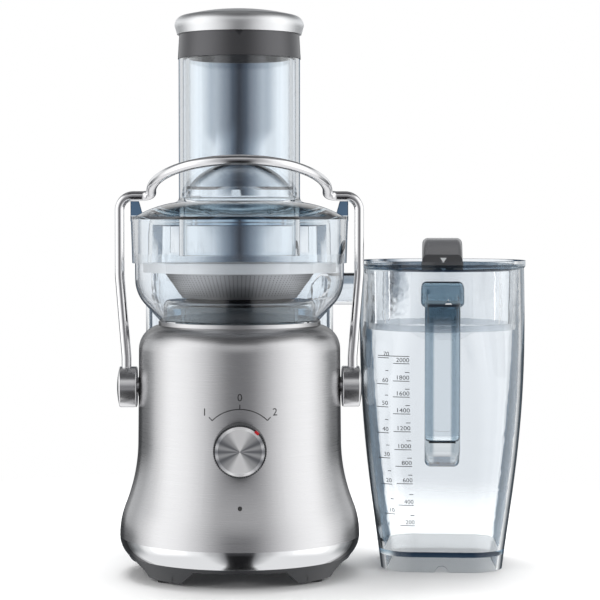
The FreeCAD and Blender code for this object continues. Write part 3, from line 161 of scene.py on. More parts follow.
class Graph:
    """A shader tree that is written through terms."""

    def __init__(self, tree: bpy.types.NodeTree) -> None:
        """Keeps the tree."""
        self.tree = tree

    def node(self, kind: str, inputs: dict[int | str, Any], **settings: Any) -> bpy.types.Node:
        """Any node other than maths.

        Args:
            kind: the node's type name.
            inputs: values or terms by input name or number.
            settings: the node's own properties, which are set first.

        Returns:
            The node.
        """
        node = self.tree.nodes.new(kind)
        for name, value in settings.items():
            setattr(node, name, value)
        for name, value in inputs.items():
            Term.feed(self.tree, node.inputs[name], value)
        return node

    def add(self, kind: str, inputs: dict[int | str, Any], output: int | str = 0, **settings: Any) -> Term:
        """One output of a new node, as a term."""
        return Term(self.tree, self.node(kind, inputs, **settings).outputs[output])

    def ramp(self, value: Term, stops: Stops) -> Term:
        """A colour ramp with soft steps.

        Args:
            value: what is looked up, from 0 to 1.
            stops: places and colours in order.

        Returns:
            The colour as a term.
        """
        node = self.node("ShaderNodeValToRGB", {0: value})
        node.color_ramp.interpolation = "EASE"
        ends = node.color_ramp.elements
        for place, colour in stops[1:-1]:
            ends.new(place).color = (*colour, 1.0)
        for end, (place, colour) in ((ends[0], stops[0]), (ends[-1], stops[-1])):
            end.position = place
            end.color = (*colour, 1.0)
        return Term(self.tree, node.outputs[0])

    def parts(self, output: str = "Object") -> list[Term]:
        """The x, y and z parts of a texture coordinate."""
        place = self.add("ShaderNodeTexCoord", {}, output)
        return [Term(self.tree, part) for part in self.node("ShaderNodeSeparateXYZ", {0: place}).outputs]

    def blend(self, factor: Term, first: Any, second: Any) -> Term:
        """Goes from one colour to another as the factor goes from 0 to 1."""
        one, two = (end if isinstance(end, Term) else (*end, 1.0) for end in (first, second))
        return self.add("ShaderNodeMix", {"Factor": factor, 6: one, 7: two}, 2, data_type="RGBA")

    def rise(self, value: Term, low: float, high: float) -> Term:
        """Goes from 0 to 1 as the value goes from low to high."""
        return self.add("ShaderNodeMapRange", {"Value": value, "From Min": low, "From Max": high},
                        interpolation_type="SMOOTHSTEP")

    def past(self, value: Term, limit: float, soft: float) -> Term:
        """Goes from 0 to 1 over the last few millimetres before a limit."""
        return self.rise(value, (limit - soft) * MM, limit * MM)

    @staticmethod
    def reach(side: Term, depth: Term) -> Term:
        """Distance from the upright axis."""
        return (side * side + depth * depth) ** 0.5

    def grain(self, scale: Sequence[float]) -> Term:
        """Noise in the object's own coordinates.

        Args:
            scale: how many grains to the metre along x, y and z.

        Returns:
            The noise, from 0 to 1.
        """
        place = self.add("ShaderNodeTexCoord", {}, "Object")
        drawn = self.add("ShaderNodeVectorMath", {0: place, 1: tuple(scale)}, operation="MULTIPLY")
        return self.add("ShaderNodeTexNoise", {"Vector": drawn, "Scale": 1.0, "Detail": 2.0})


class Grain(Enum):
    """How a surface is worked, as noise scales to the metre along x, y and z."""

    PLAIN = (300.0, 300.0, 300.0)
    HOOPS = (25.0, 25.0, 5200.0)
    MOULDED = (2600.0, 2600.0, 2600.0)
    HANDLED = (22.0, 22.0, 22.0)


@dataclass(frozen=True)
class Finish:
    """One surface finish."""

    MIDDLE_PLACES: ClassVar[Pair] = (0.43, 0.71)
    RELIEF_DEPTH: ClassVar[float] = 0.1

    name: str
    slot: str
    colour: Colour
    roughness: float
    metallic: float = 0.0
    clear: float = 0.0
    ior: float = 1.5
    coat: float = 0.0
    grain: Grain = Grain.PLAIN
    uneven: float = 0.03
    relief: float = 0.0
    depth_tint: Colour = (1.0, 1.0, 1.0)
    density: float = 0.0
    # edge, edge_from, edge_span: a darker colour painted where the surface is seen edge on; on metal a
    # painted dark reflection, on clear plastic partly the tint of the longer path and partly painted shade
    edge: Colour | None = None
    edge_from: float = 0.0
    edge_span: float = 1.0

    def paint(self, graph: Graph) -> Term | None:
        """Colour that changes over the surface: painted shade, deeper where it is seen edge on.

        Args:
            graph: the material's nodes.

        Returns:
            The colour, or None where it is even.
        """
        if self.edge is None:
            return None
        # painted shade: the edge colour follows how far the surface turns away from the view
        slant = graph.add("ShaderNodeLayerWeight", {"Blend": 0.5}, "Facing")
        middle = tuple((3 * light + 2 * shaded) / 5 for light, shaded in zip(self.colour, self.edge))
        places = [self.edge_from + share * self.edge_span for share in (0.0, *self.MIDDLE_PLACES, 1.0)]
        return graph.ramp(slant, list(zip(places, (self.colour, middle, middle, self.edge))))

    def material(self) -> bpy.types.Material:
        """The finish as a material, made once.

        Returns:
            The material.
        """
        known = bpy.data.materials.get(f"look_{self.name}")
        if known:
            return known
        made = bpy.data.materials.new(f"look_{self.name}")
        made.use_nodes = True
        graph = Graph(made.node_tree)
        skin = made.node_tree.nodes["Principled BSDF"].inputs
        noise = graph.grain(self.grain.value)
        values = {
            "Base Color": self.paint(graph) or (*self.colour, 1.0), "Metallic": self.metallic,
            "Roughness": self.roughness + (noise - 0.5) * self.uneven, "Transmission Weight": self.clear,
            "IOR": self.ior, "Coat Weight": self.coat}
        for name, value in values.items():
            Term.feed(graph.tree, skin[name], value)
        if self.relief:
            bump = graph.add("ShaderNodeBump", {
                "Height": noise, "Strength": self.relief, "Distance": self.RELIEF_DEPTH * MM})
            Term.feed(graph.tree, skin["Normal"], bump)
        if self.density:
            body = graph.add("ShaderNodeVolumeAbsorption", {
                "Color": (*self.depth_tint, 1.0), "Density": self.density})
            Term.feed(graph.tree, made.node_tree.nodes["Material Output"].inputs["Volume"], body)
        return made


@dataclass(frozen=True)
class SpunHighlightFinish(Finish):
    """Metal turned on a lathe, with painted highlights: light and dark fans painted about the dial's axis as
    a painted reflection.
    """

    axis_z: float = DIAL_Z
    # the dark fans: a painted dark reflection
    shaded: Colour = (0.16, 0.165, 0.18)

    def paint(self, graph: Graph) -> Term:
        """Painted highlight: fans of light and of painted shade round the axis.

        Args:
            graph: the material's nodes.

        Returns:
            The colour.
        """
        side, _, up = graph.parts()
        rise = (up - self.axis_z * MM).size()
        highlight_fan = rise.maths("ARCTAN2", side.size(), rise) / (math.pi / 2)
        between = tuple((light + 2 * dark) / 3 for light, dark in zip(self.colour, self.shaded))
        # painted highlight: light fans above and below the axis, painted dark reflection to its sides
        return graph.ramp(highlight_fan, [(0.0, self.colour), (0.2, self.colour), (0.5, between), (0.72, self.shaded),
                                (0.86, between), (1.0, self.shaded)])


@dataclass(frozen=True)
class ClearFinish(Finish):
    """Clear plastic, tinted by its depth, and deeper where it is seen edge on: partly the tint of the longer
    path, partly painted shade.
    """

    slot: str = "clear_tint"
    colour: Colour = (0.95, 0.97, 0.985)
    roughness: float = 0.02
    clear: float = 1.0
    ior: float = 1.49
    grain: Grain = Grain.HANDLED
    uneven: float = 0.01
    depth_tint: Colour = (0.0, 0.3, 0.5)
    density: float = 10.0
    # edge: a deeper colour painted where seen edge on, partly painted shade
    edge: Colour | None = (0.08, 0.13, 0.2)
    edge_from: float = 0.66
    edge_span: float = 0.2


@dataclass(frozen=True)
class CoverFinish(ClearFinish):
    """Clear plastic of the cover, deep in its two solid ears."""

    ear: Colour = (0.1, 0.16, 0.24)
    ear_x: float = 77.0
    ear_z: float = 282.2
    ear_soft: float = 0.1
    chute_r: float = 52.0
    foot_soft: float = 1.0
    dome: Colour = (0.55, 0.7, 0.78)
    dome_soft: float = 2.0

    def paint(self, graph: Graph) -> Term:
        """Edge tint and painted edge shade, with the ears and dome in their own, and none on the chute's
        foot under the dome.

        Args:
            graph: the material's nodes.

        Returns:
            The colour.
        """
        tint = super().paint(graph)
        side, depth, up = graph.parts()
        above = graph.past(up, self.ear_z + self.ear_soft, 2 * self.ear_soft)
        ear = above * graph.past(side.size(), self.ear_x + self.ear_soft, 2 * self.ear_soft)
        reach = graph.reach(side, depth)
        foot = (1.0 - above) * (1.0 - graph.past(reach, self.chute_r, self.foot_soft))
        tint = graph.blend(foot, tint, self.colour)
        dome = above * graph.past(reach, self.chute_r, self.dome_soft)
        tint = graph.blend(dome, tint, self.dome)
        return graph.blend(ear, tint, self.ear)


@dataclass(frozen=True)
class BowlFinish(ClearFinish):
    """Clear plastic of the bowl, deeper in the raised floor under the basket."""

    hub_r: float = 61.5
    hub_z: float = 216.0
    soft: float = 1.0
    hub: Colour = (0.5, 0.62, 0.7)

    def paint(self, graph: Graph) -> Term:
        """Edge tint, with the raised floor in its own.

        Args:
            graph: the material's nodes.

        Returns:
            The colour.
        """
        tint = super().paint(graph)
        side, depth, up = graph.parts()
        inside = 1.0 - graph.past(graph.reach(side, depth), self.hub_r, self.soft)
        low = 1.0 - graph.past(up, self.hub_z, self.soft)
        return graph.blend(inside * low, tint, self.hub)


@dataclass(frozen=True)
class JugFinish(ClearFinish):
    """Clear plastic of the jug: light in its floor; deep in the rails and the root of its handle, partly the
    tint of thick plastic and partly painted shade.
    """

    floor_z: float = 24.0
    level: Pair = (0.5, 0.8)
    soft: float = 1.0
    axis: Pair = JUG_AXIS
    lean: float = 0.0963
    grip_y: float = -31.0
    rail_x: Pair = (5.5, 8.0)
    root_z: Pair = (188.0, 207.0)
    # rail, root and rim: deep colours, partly painted shade for the dark the thick plastic shows
    rail: Colour = (0.42, 0.5, 0.56)
    root: Colour = (0.09, 0.15, 0.2)
    rim_z: float = 239.5
    rim_soft: float = 0.5
    rim: Colour = (0.14, 0.2, 0.26)

    def paint(self, graph: Graph) -> Term:
        """Edge tint and painted edge shade on the walls, none on the floor, and deep tints on the handle and
        the rim, partly painted shade.

        Args:
            graph: the material's nodes.

        Returns:
            The colour.
        """
        tint = super().paint(graph)
        side, depth, up = graph.parts()
        level = graph.rise(graph.parts("Normal")[2].size(), *self.level)
        floor = level * (1.0 - graph.past(up, self.floor_z, self.soft))
        tint = graph.blend(floor, tint, self.colour)
        grip = 1.0 - graph.past(depth, self.grip_y, self.soft)
        across = (side - self.axis[0] * MM) + (self.axis[1] * MM - depth) * self.lean
        rails = graph.rise(across.size(), self.rail_x[0] * MM, self.rail_x[1] * MM)
        tint = graph.blend(grip * rails, tint, self.rail)
        root = graph.rise(up, self.root_z[0] * MM, self.root_z[1] * MM)
        tint = graph.blend(grip * root, tint, self.root)
        return graph.blend(graph.past(up, self.rim_z, self.rim_soft), tint, self.rim)


# The steel's edge colour is a painted dark reflection where its sides turn away.
STEEL = Finish("brushed_steel", "brushed_steel", (0.66, 0.66, 0.67), 0.3, 1.0, grain=Grain.HOOPS,
               uneven=0.22, relief=0.12, edge=(0.12, 0.12, 0.125), edge_from=0.44, edge_span=0.36)
CAP_STEEL = Finish("polished_cap", "brushed_steel", (0.86, 0.87, 0.88), 0.4, 1.0, grain=Grain.HANDLED)
BASKET = Finish("basket_steel", "basket_steel", (0.5, 0.51, 0.53), 0.4, 1.0, grain=Grain.HOOPS,
                uneven=0.2, relief=0.2)
RIM = Finish("basket_rim", "basket_steel", (0.84, 0.86, 0.88), 0.5, 0.6)
CHROME = Finish("chrome", "chrome", (0.88, 0.88, 0.89), 0.16, 1.0, grain=Grain.HANDLED, uneven=0.02)
DRUM = Finish("drum_chrome", "chrome", (0.94, 0.94, 0.95), 0.24, 1.0, grain=Grain.HANDLED)
CLEAR = ClearFinish("clear_tint")
BOWL = BowlFinish("bowl_clear")
COVER = CoverFinish("cover_clear", edge=(0.05, 0.1, 0.17), edge_from=0.7, edge_span=0.12)
JUG_CLEAR = JugFinish("jug_clear", colour=(0.985, 0.99, 0.995), depth_tint=(0.0, 0.32, 0.5), density=11.0,
                      edge=(0.04, 0.08, 0.13), edge_from=0.48, edge_span=0.24)
LID_CLEAR = ClearFinish("lid_clear", colour=(0.985, 0.99, 0.995), depth_tint=(0.0, 0.32, 0.5), density=6.0,
                        edge=(0.3, 0.38, 0.46), edge_from=0.5, edge_span=0.28)
# The trim's edge colour is a painted dark reflection where it turns away.
TRIM = Finish("trim_chrome", "chrome", (0.86, 0.87, 0.88), 0.12, 1.0, grain=Grain.HANDLED,
              edge=(0.04, 0.04, 0.045), edge_from=0.62, edge_span=0.08)
COLLAR = Finish("collar_gloss", "dark_plastic", (0.12, 0.12, 0.126), 0.3, 0.85, grain=Grain.HANDLED)
DARK = Finish("dark_plastic", "dark_plastic", (0.026, 0.028, 0.032), 0.36, grain=Grain.MOULDED,
              uneven=0.12, relief=0.06)
GRIP = Finish("grip_plastic", "dark_plastic", (0.085, 0.086, 0.09), 0.3, coat=0.3)
INNER = Finish("inner_plastic", "inner_plastic", (0.06, 0.06, 0.065), 0.5)
RUBBER = Finish("rubber", "rubber", (0.016, 0.016, 0.017), 0.72, grain=Grain.MOULDED, relief=0.1)
SEAL = Finish("seal_rubber", "seal_rubber", (0.78, 0.83, 0.88), 0.25, clear=0.85)
# The spun face's light and dark fans are a painted highlight and a painted dark reflection.
SPUN = SpunHighlightFinish("spun_metal", "spun_metal", (0.98, 0.98, 0.99), 0.34, 0.6)
RED = Finish("pointer_red", "pointer_red", (0.5, 0.012, 0.02), 0.32, coat=0.3)
LAMP = Finish("lamp_lens", "lamp_lens", (0.02, 0.02, 0.02), 0.12, coat=0.5)
MACHINED = Finish("machined_steel", "machined_steel", (0.6, 0.6, 0.61), 0.28, 1.0)
ALLOY = Finish("cast_alloy", "cast_alloy", (0.56, 0.57, 0.58), 0.5, 1.0, grain=Grain.MOULDED, relief=0.2)
COPPER = Finish("copper", "copper", (0.72, 0.36, 0.2), 0.32, 1.0)
BOARD = Finish("board_green", "board_green", (0.02, 0.11, 0.05), 0.4)
INK = Finish("print_ink", "dark_plastic", (0.012, 0.012, 0.014), 0.45)
WHITE_INK = Finish("white_print", "clear_tint", (0.85, 0.86, 0.87), 0.4)
FLOOR = Finish("floor_white", "", (0.97, 0.97, 0.97), 0.9)
GREY_INK = Finish("jug_print", "seal_rubber", (0.06, 0.065, 0.075), 0.5)


Finishes = dict[str, Finish]


@dataclass
class Frame:
    """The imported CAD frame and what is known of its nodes."""

    SHARP: ClassVar[float] = 28.0

    data: dict[str, Any]

    def body(self, node: str) -> str:
        """The body a node belongs to.

        Args:
            node: a CAD node.

        Returns:
            The body's name.
        """
        return self.data["nodes"][node].parent.name.removeprefix("body:")

    def dress(self, node: str, finish: Finish) -> None:
        """Gives a CAD node that stays a better material.

        Args:
            node: the CAD node.
            finish: what it is made of.
        """
        mesh = self.data["nodes"][node].data
        mesh.materials.clear()
        mesh.materials.append(finish.material())

    def smooth(self, node: str, finish: Finish) -> bpy.types.Object:
        """A merged and smoothed copy that stands for a node.

        Args:
            node: the CAD node.
            finish: what the copy is made of.

        Returns:
            The piece, riding on the node's body.
        """
        shape = bmesh.new()
        shape.from_mesh(self.data["nodes"][node].data)
        for layer in list(shape.loops.layers.uv):
            shape.loops.layers.uv.remove(layer)
        bmesh.ops.remove_doubles(shape, verts=shape.verts, dist=MERGE)
        bmesh.ops.dissolve_degenerate(shape, edges=shape.edges, dist=MERGE)
        piece = Piece.from_shape(f"{node}_piece", shape, finish, self.SHARP)
        return Piece.seat(piece, self.body(node), finish, node)


class Piece:
    """Makes and seats pieces of the visual model."""

    @staticmethod
    def from_shape(name: str, shape: bmesh.types.BMesh, finish: Finish,
                   sharp: float = 30.0) -> bpy.types.Object:
        """A piece from an edit mesh in metres.

        Args:
            name: the piece's name.
            shape: the edit mesh, freed here.
            finish: its material.
            sharp: edges that turn by more degrees than this stay sharp.

        Returns:
            The new object.
        """
        limit = math.radians(sharp)
        for face in shape.faces:
            face.smooth = True
        for edge in shape.edges:
            edge.smooth = edge.is_manifold and edge.calc_face_angle(math.pi) < limit
        mesh = bpy.data.meshes.new(name)
        shape.to_mesh(mesh)
        shape.free()
        if "custom_normal" in mesh.attributes:
            mesh.attributes.remove(mesh.attributes["custom_normal"])
        mesh.materials.clear()
        mesh.materials.append(finish.material())
        piece = bpy.data.objects.new(name, mesh)
        bpy.context.scene.collection.objects.link(piece)
        return piece

    @staticmethod
    def bridge(shape: bmesh.types.BMesh, rows: Sequence[Sequence[bmesh.types.BMVert]]) -> None:
        """Joins closed rows of points by faces.

        Args:
            shape: the edit mesh that holds the points.
            rows: the rows in order, each of the same count or a single point.
        """
        for one, two in zip(rows, rows[1:]):
            for k in range(max(len(one), len(two))):
                corners = (one[k % len(one)], one[(k + 1) % len(one)],
                           two[(k + 1) % len(two)], two[k % len(two)])
                shape.faces.new(list(dict.fromkeys(corners)))

    @staticmethod
    def seat(piece: bpy.types.Object, body: str, finish: Finish, *nodes: str) -> bpy.types.Object:
        """Lets a piece ride on a body and stand for CAD nodes.

        Args:
            piece: the object.
            body: the body it moves with.
            finish: not used.
            nodes: the CAD nodes that it replaces.

        Returns:
            The piece.
        """
        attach(piece, body)
        if nodes:
            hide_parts(*nodes)
        LOG.info("%s rides on %s, %d faces", piece.name, body, len(piece.data.polygons))
        return piece


class Print:
    """Thin printed marks wrapped on a surface round an upright axis."""

    PROUD: ClassVar[float] = 0.06
    SUNK: ClassVar[float] = 0.05
    WELD: ClassVar[float] = 1e-4
    FIGURE_SHARE: ClassVar[float] = 0.7
    CURVE_STEPS: ClassVar[int] = 3

    def __init__(self, target: bpy.types.Object, axis: Pair, radius: float) -> None:
        """Keeps the surface and an empty sheet to draw on.

        Args:
            target: the piece that is printed on.
            axis: x and y of the upright axis the sheet is wrapped round.
            radius: the sheet's x is an arc of this radius, from the front.
        """
        self.tree = BVHTree.FromObject(target, bpy.context.evaluated_depsgraph_get())
        self.axis = axis
        self.radius = radius
        self.sheet = bmesh.new()

    def stroke(self, points: Sequence[Pair], width: float) -> None:
        """A line of even width.

        Args:
            points: where it runs.
            width: its width.
        """
        sides: list[tuple[bmesh.types.BMVert, bmesh.types.BMVert]] = []
        for i, (x, z) in enumerate(points):
            before, after = points[max(i - 1, 0)], points[min(i + 1, len(points) - 1)]
            run = Vector((after[0] - before[0], after[1] - before[1])).normalized() * width / 2
            sides.append((self.sheet.verts.new((x - run.y, 0.0, z + run.x)),
                          self.sheet.verts.new((x + run.y, 0.0, z - run.x))))
        for one, two in zip(sides, sides[1:]):
            self.sheet.faces.new((one[0], one[1], two[1], two[0]))

    def patch(self, points: Sequence[Pair]) -> None:
        """A filled outline."""
        self.sheet.faces.new([self.sheet.verts.new((x, 0.0, z)) for x, z in points])

    def digits(self, text: str, x: float, z: float, height: float, align: str = "CENTER") -> None:
        """Plain figures.

        Args:
            text: the figures.
            x: where they are aligned.
            z: their middle.
            height: height of a figure.
            align: which side x is on.
        """
        curve = bpy.data.curves.new("figures", "FONT")
        curve.body = text
        curve.size = height / self.FIGURE_SHARE
        curve.align_x = align
        curve.align_y = "CENTER"
        curve.resolution_u = self.CURVE_STEPS
        writing = bpy.data.objects.new("figures", curve)
        bpy.context.scene.collection.objects.link(writing)
        seen = writing.evaluated_get(bpy.context.evaluated_depsgraph_get())
        mesh = bpy.data.meshes.new_from_object(seen)
        mesh.transform(Matrix.Translation((x, 0.0, z)) @ Matrix.Rotation(math.pi / 2, 4, "X"))
        self.sheet.from_mesh(mesh)
        bpy.data.objects.remove(writing)
        bpy.data.curves.remove(curve)
        bpy.data.meshes.remove(mesh)

    def lay(self, name: str, finish: Finish) -> bpy.types.Object:
        """Presses the sheet on the surface as closed thin marks.

        Args:
            name: the piece's name.
            finish: the ink.

        Returns:
            The marks as one piece.
        """
        sheet = self.sheet
        bmesh.ops.remove_doubles(sheet, verts=sheet.verts, dist=self.WELD)
        back = set(sheet.verts)
        bmesh.ops.extrude_face_region(sheet, geom=sheet.faces[:], use_keep_orig=True)
        for vert in sheet.verts:
            turn = vert.co.x / self.radius
            inward = Vector((-math.sin(turn), math.cos(turn), 0.0))
            middle = Vector((self.axis[0] * MM, self.axis[1] * MM, vert.co.z * MM))
            spot = self.tree.ray_cast(middle - inward, inward)[0]
            lift = self.SUNK if vert in back else -self.PROUD
            vert.co = spot + inward * lift * MM
        bmesh.ops.recalc_face_normals(sheet, faces=sheet.faces[:])
        return Piece.from_shape(name, sheet, finish)


class Pattern:
    """A Geometry Nodes tree that repeats a small form, made into a plain mesh."""

    def __init__(self, name: str) -> None:
        """Starts an empty tree with a geometry output.

        Args:
            name: the tree's and the piece's name.
        """
        self.name = name
        self.tree = bpy.data.node_groups.new(name, "GeometryNodeTree")
        self.tree.interface.new_socket("Geometry", in_out="OUTPUT", socket_type="NodeSocketGeometry")
        self.entry = self.tree.nodes.new("NodeGroupInput")
        self.values: dict[str, Any] = {}

    def size(self, label: str, value: Any, kind: str = "NodeSocketFloat") -> bpy.types.NodeSocket:
        """A named input.

        Args:
            label: its name.
            value: what it is set to.
            kind: its socket type.

        Returns:
            The socket inside the tree.
        """
        socket = self.tree.interface.new_socket(label, in_out="INPUT", socket_type=kind)
        self.values[socket.identifier] = value
        return self.entry.outputs[label]

    def add(self, kind: str, links: dict[str, Any], **settings: Any) -> bpy.types.NodeSocket:
        """One node of the tree.

        Args:
            kind: the node's type name.
            links: sockets or plain values by input name.
            settings: the node's own properties.

        Returns:
            Its first output.
        """
        node = self.tree.nodes.new(kind)
        for name, value in settings.items():
            setattr(node, name, value)
        for name, value in links.items():
            if isinstance(value, bpy.types.NodeSocket):
                self.tree.links.new(value, node.inputs[name])
            else:
                node.inputs[name].default_value = value
        return node.outputs[0]

    def make(self, repeated: bpy.types.NodeSocket, place: Matrix, finish: Finish) -> bpy.types.Object:
        """Ends the tree, applies it and hands back a plain mesh.

        Args:
            repeated: the instances.
            place: where the tree's own frame stands, in metres.
            finish: the material.

        Returns:
            The piece.
        """
        real = self.add("GeometryNodeRealizeInstances", {"Geometry": repeated})
        dressed = self.add("GeometryNodeSetMaterial", {"Geometry": real, "Material": finish.material()})
        exit_node = self.tree.nodes.new("NodeGroupOutput")
        self.tree.links.new(dressed, exit_node.inputs[0])
        carrier = bpy.data.objects.new(self.name, bpy.data.meshes.new(self.name))
        bpy.context.scene.collection.objects.link(carrier)
        modifier = carrier.modifiers.new(self.name, "NODES")
        modifier.node_group = self.tree
        for identifier, value in self.values.items():
            modifier[identifier] = value
        seen = carrier.evaluated_get(bpy.context.evaluated_depsgraph_get())
        mesh = bpy.data.meshes.new_from_object(seen)
        bpy.data.objects.remove(carrier)
        mesh.transform(place)
        shape = bmesh.new()
        shape.from_mesh(mesh)
        bpy.data.meshes.remove(mesh)
        return Piece.from_shape(self.name, shape, finish)


@dataclass
class Assembly:
    """A sub-assembly: nodes that keep their CAD mesh and nodes that get a smooth copy."""

    kept: ClassVar[Finishes] = {}
    smoothed: ClassVar[Finishes] = {}

    def build(self, frame: Frame) -> Pieces:
        """Dresses the sub-assembly's nodes and adds its own pieces.

        Args:
            frame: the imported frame.

        Returns:
            The smooth pieces by node.
        """
        LOG.info("%s: %d nodes", type(self).__name__, len(self.kept) + len(self.smoothed))
        for node, finish in self.kept.items():
            frame.dress(node, finish)
        pieces = {node: frame.smooth(node, finish) for node, finish in self.smoothed.items()}
        for node, finish in self.smoothed.items():
            pieces[node].visible_glossy = not finish.clear
        self.add_own(pieces)
        return pieces

    def add_own(self, pieces: Pieces) -> None:
        """Adds what only the scene has, which is nothing unless a sub-assembly says so."""


@dataclass
class Base(Assembly):
    """Pan, feet, trim band, steel body, its lamp and what they carry inside."""

    kept: ClassVar[Finishes] = {
        "base_feet": RUBBER, "base_screws": MACHINED, "inner_housing": INNER, "cord_grommet": RUBBER,
        "pivot_pins": MACHINED, "interlock_switch": INNER, "control_board": BOARD}
    smoothed: ClassVar[Finishes] = {
        "body_shell": STEEL, "trim_band": TRIM, "base_pan": DARK, "drive_deck": DARK, "indicator_lens": LAMP}

    foot_r: float = 79.0
    pan_r: float = 88.7
    pan_h: float = 16.0
    arch_h: float = 13.0
    foot_z: float = 2.0
    lobe_x: float = 52.3
    flat_x: float = 45.0
    slope_x: float = 35.0
    gusset_t: float = 14.0
    sink: float = 0.4
    steps: int = 8

    def wedge(self, shape: bmesh.types.BMesh, right: float, rear: float) -> None:
        """Adds one closed wedge under the pan's arch.

        Args:
            shape: the edit mesh that takes it.
            right: 1 on the right, -1 on the left.
            rear: 1 behind, -1 in front.
        """
        top = self.arch_h + self.sink
        rows: list[list[bmesh.types.BMVert]] = []
        for k in range(self.steps + 1):
            x = self.slope_x + (self.lobe_x - self.slope_x) * k / self.steps
            drop = min(1.0, (x - self.slope_x) / (self.flat_x - self.slope_x))
            low = self.arch_h - (self.arch_h - self.foot_z) * drop
            row = []
            for z, back in ((low, 0.0), (top, 0.0), (top, self.gusset_t), (low, self.gusset_t)):
                reach = self.foot_r + (self.pan_r - self.foot_r) * z / self.pan_h - self.sink
                y = math.sqrt(reach ** 2 - x ** 2) - back
                row.append(shape.verts.new((right * x * MM, rear * y * MM, z * MM)))
            rows.append(row)
        Piece.bridge(shape, rows)
        shape.faces.new(rows[0])
        shape.faces.new(rows[-1])

    def gussets(self) -> bpy.types.Object:
        """Sloped inner sides of the front and rear foot lobes.

        Returns:
            The piece.
        """
        shape = bmesh.new()
        for right in (-1.0, 1.0):
            for rear in (-1.0, 1.0):
                self.wedge(shape, right, rear)
        bmesh.ops.recalc_face_normals(shape, faces=shape.faces[:])
        return Piece.from_shape("pan_gussets", shape, DARK)

    def add_own(self, pieces: Pieces) -> None:
        """Slopes the foot lobes."""
        Piece.seat(self.gussets(), "base", DARK)


@dataclass
class Motor(Assembly):
    """Motor and drive inside the body."""

    kept: ClassVar[Finishes] = {
        "motor_mounts": RUBBER, "shaft_seal": RUBBER, "motor_shaft": MACHINED, "lower_bearing": MACHINED,
        "upper_bearing": MACHINED, "motor_stator": MACHINED, "motor_rotor": MACHINED, "lower_bracket": ALLOY,
        "upper_bracket": ALLOY, "motor_windings": COPPER, "commutator": COPPER, "brush_holders": INNER,
        "cooling_fan": INNER, "drive_coupling": DARK}


@dataclass
class Basket(Assembly):
    """Filter basket with its rim, cutting disc and perforated wall."""

    smoothed: ClassVar[Finishes] = {
        "filter_basket": BASKET, "basket_rim": RIM, "cutting_disc": BASKET}

    low_z: float = 220.5
    high_z: float = 236.0
    low_r: float = 47.55
    high_r: float = 57.9
    columns: int = 110
    rows: int = 9
    hole_r: float = 0.42
    hole_sides: int = 6
    sink: float = 0.3

    def holes(self) -> bpy.types.Object:
        """Fine perforations as small dark plugs in the cone's wall; their dark is painted shade for what is
        seen through the holes.

        Returns:
            The piece.
        """
        pattern = Pattern("basket_perforation")
        columns = pattern.size("Columns", self.columns, "NodeSocketInt")
        rows = pattern.size("Rows", self.rows, "NodeSocketInt")
        high = pattern.size("Upper radius", self.high_r * MM)
        low = pattern.size("Lower radius", self.low_r * MM)
        rise = pattern.size("Height", (self.high_z - self.low_z) * MM)
        size = pattern.size("Hole radius", self.hole_r * MM)
        sink = pattern.size("Hole depth", self.sink * MM)
        wall = pattern.add("GeometryNodeMeshCone", {
            "Vertices": columns, "Side Segments": rows, "Radius Top": high, "Radius Bottom": low,
            "Depth": rise}, fill_type="NONE")
        plug = pattern.add("GeometryNodeMeshCylinder", {
            "Vertices": self.hole_sides, "Radius": size, "Depth": sink})
        facing = pattern.add("GeometryNodeInputNormal", {})
        turned = pattern.add("FunctionNodeAlignRotationToVector", {"Vector": facing}, axis="Z")
        plugs = pattern.add("GeometryNodeInstanceOnPoints", {
            "Points": wall, "Instance": plug, "Rotation": turned})
        # painted shade: dark plugs where the holes show the dark inside
        return pattern.make(plugs, Matrix.Translation((0.0, 0.0, self.low_z * MM)), DARK)

    def add_own(self, pieces: Pieces) -> None:
        """Perforates the basket."""
        Piece.seat(self.holes(), "rotor", DARK)


@dataclass
class Juicing(Assembly):
    """Clear bowl and cover."""

    smoothed: ClassVar[Finishes] = {"filter_bowl": BOWL, "juicer_cover": COVER}


@dataclass
class Arm(Assembly):
    """Locking arm and its two drums."""

    smoothed: ClassVar[Finishes] = {
        "locking_arm": CHROME, "arm_hub_left": DRUM, "arm_hub_right": DRUM}


@dataclass
class Pusher(Assembly):
    """Pusher tube, dark collar and polished cap."""

    smoothed: ClassVar[Finishes] = {
        "pusher_tube": CLEAR, "pusher_collar": COLLAR, "pusher_cap": CAP_STEEL}


@dataclass
class PulpBin(Assembly):
    """Clear bin behind the base."""

    smoothed: ClassVar[Finishes] = {"pulp_bin": CLEAR}


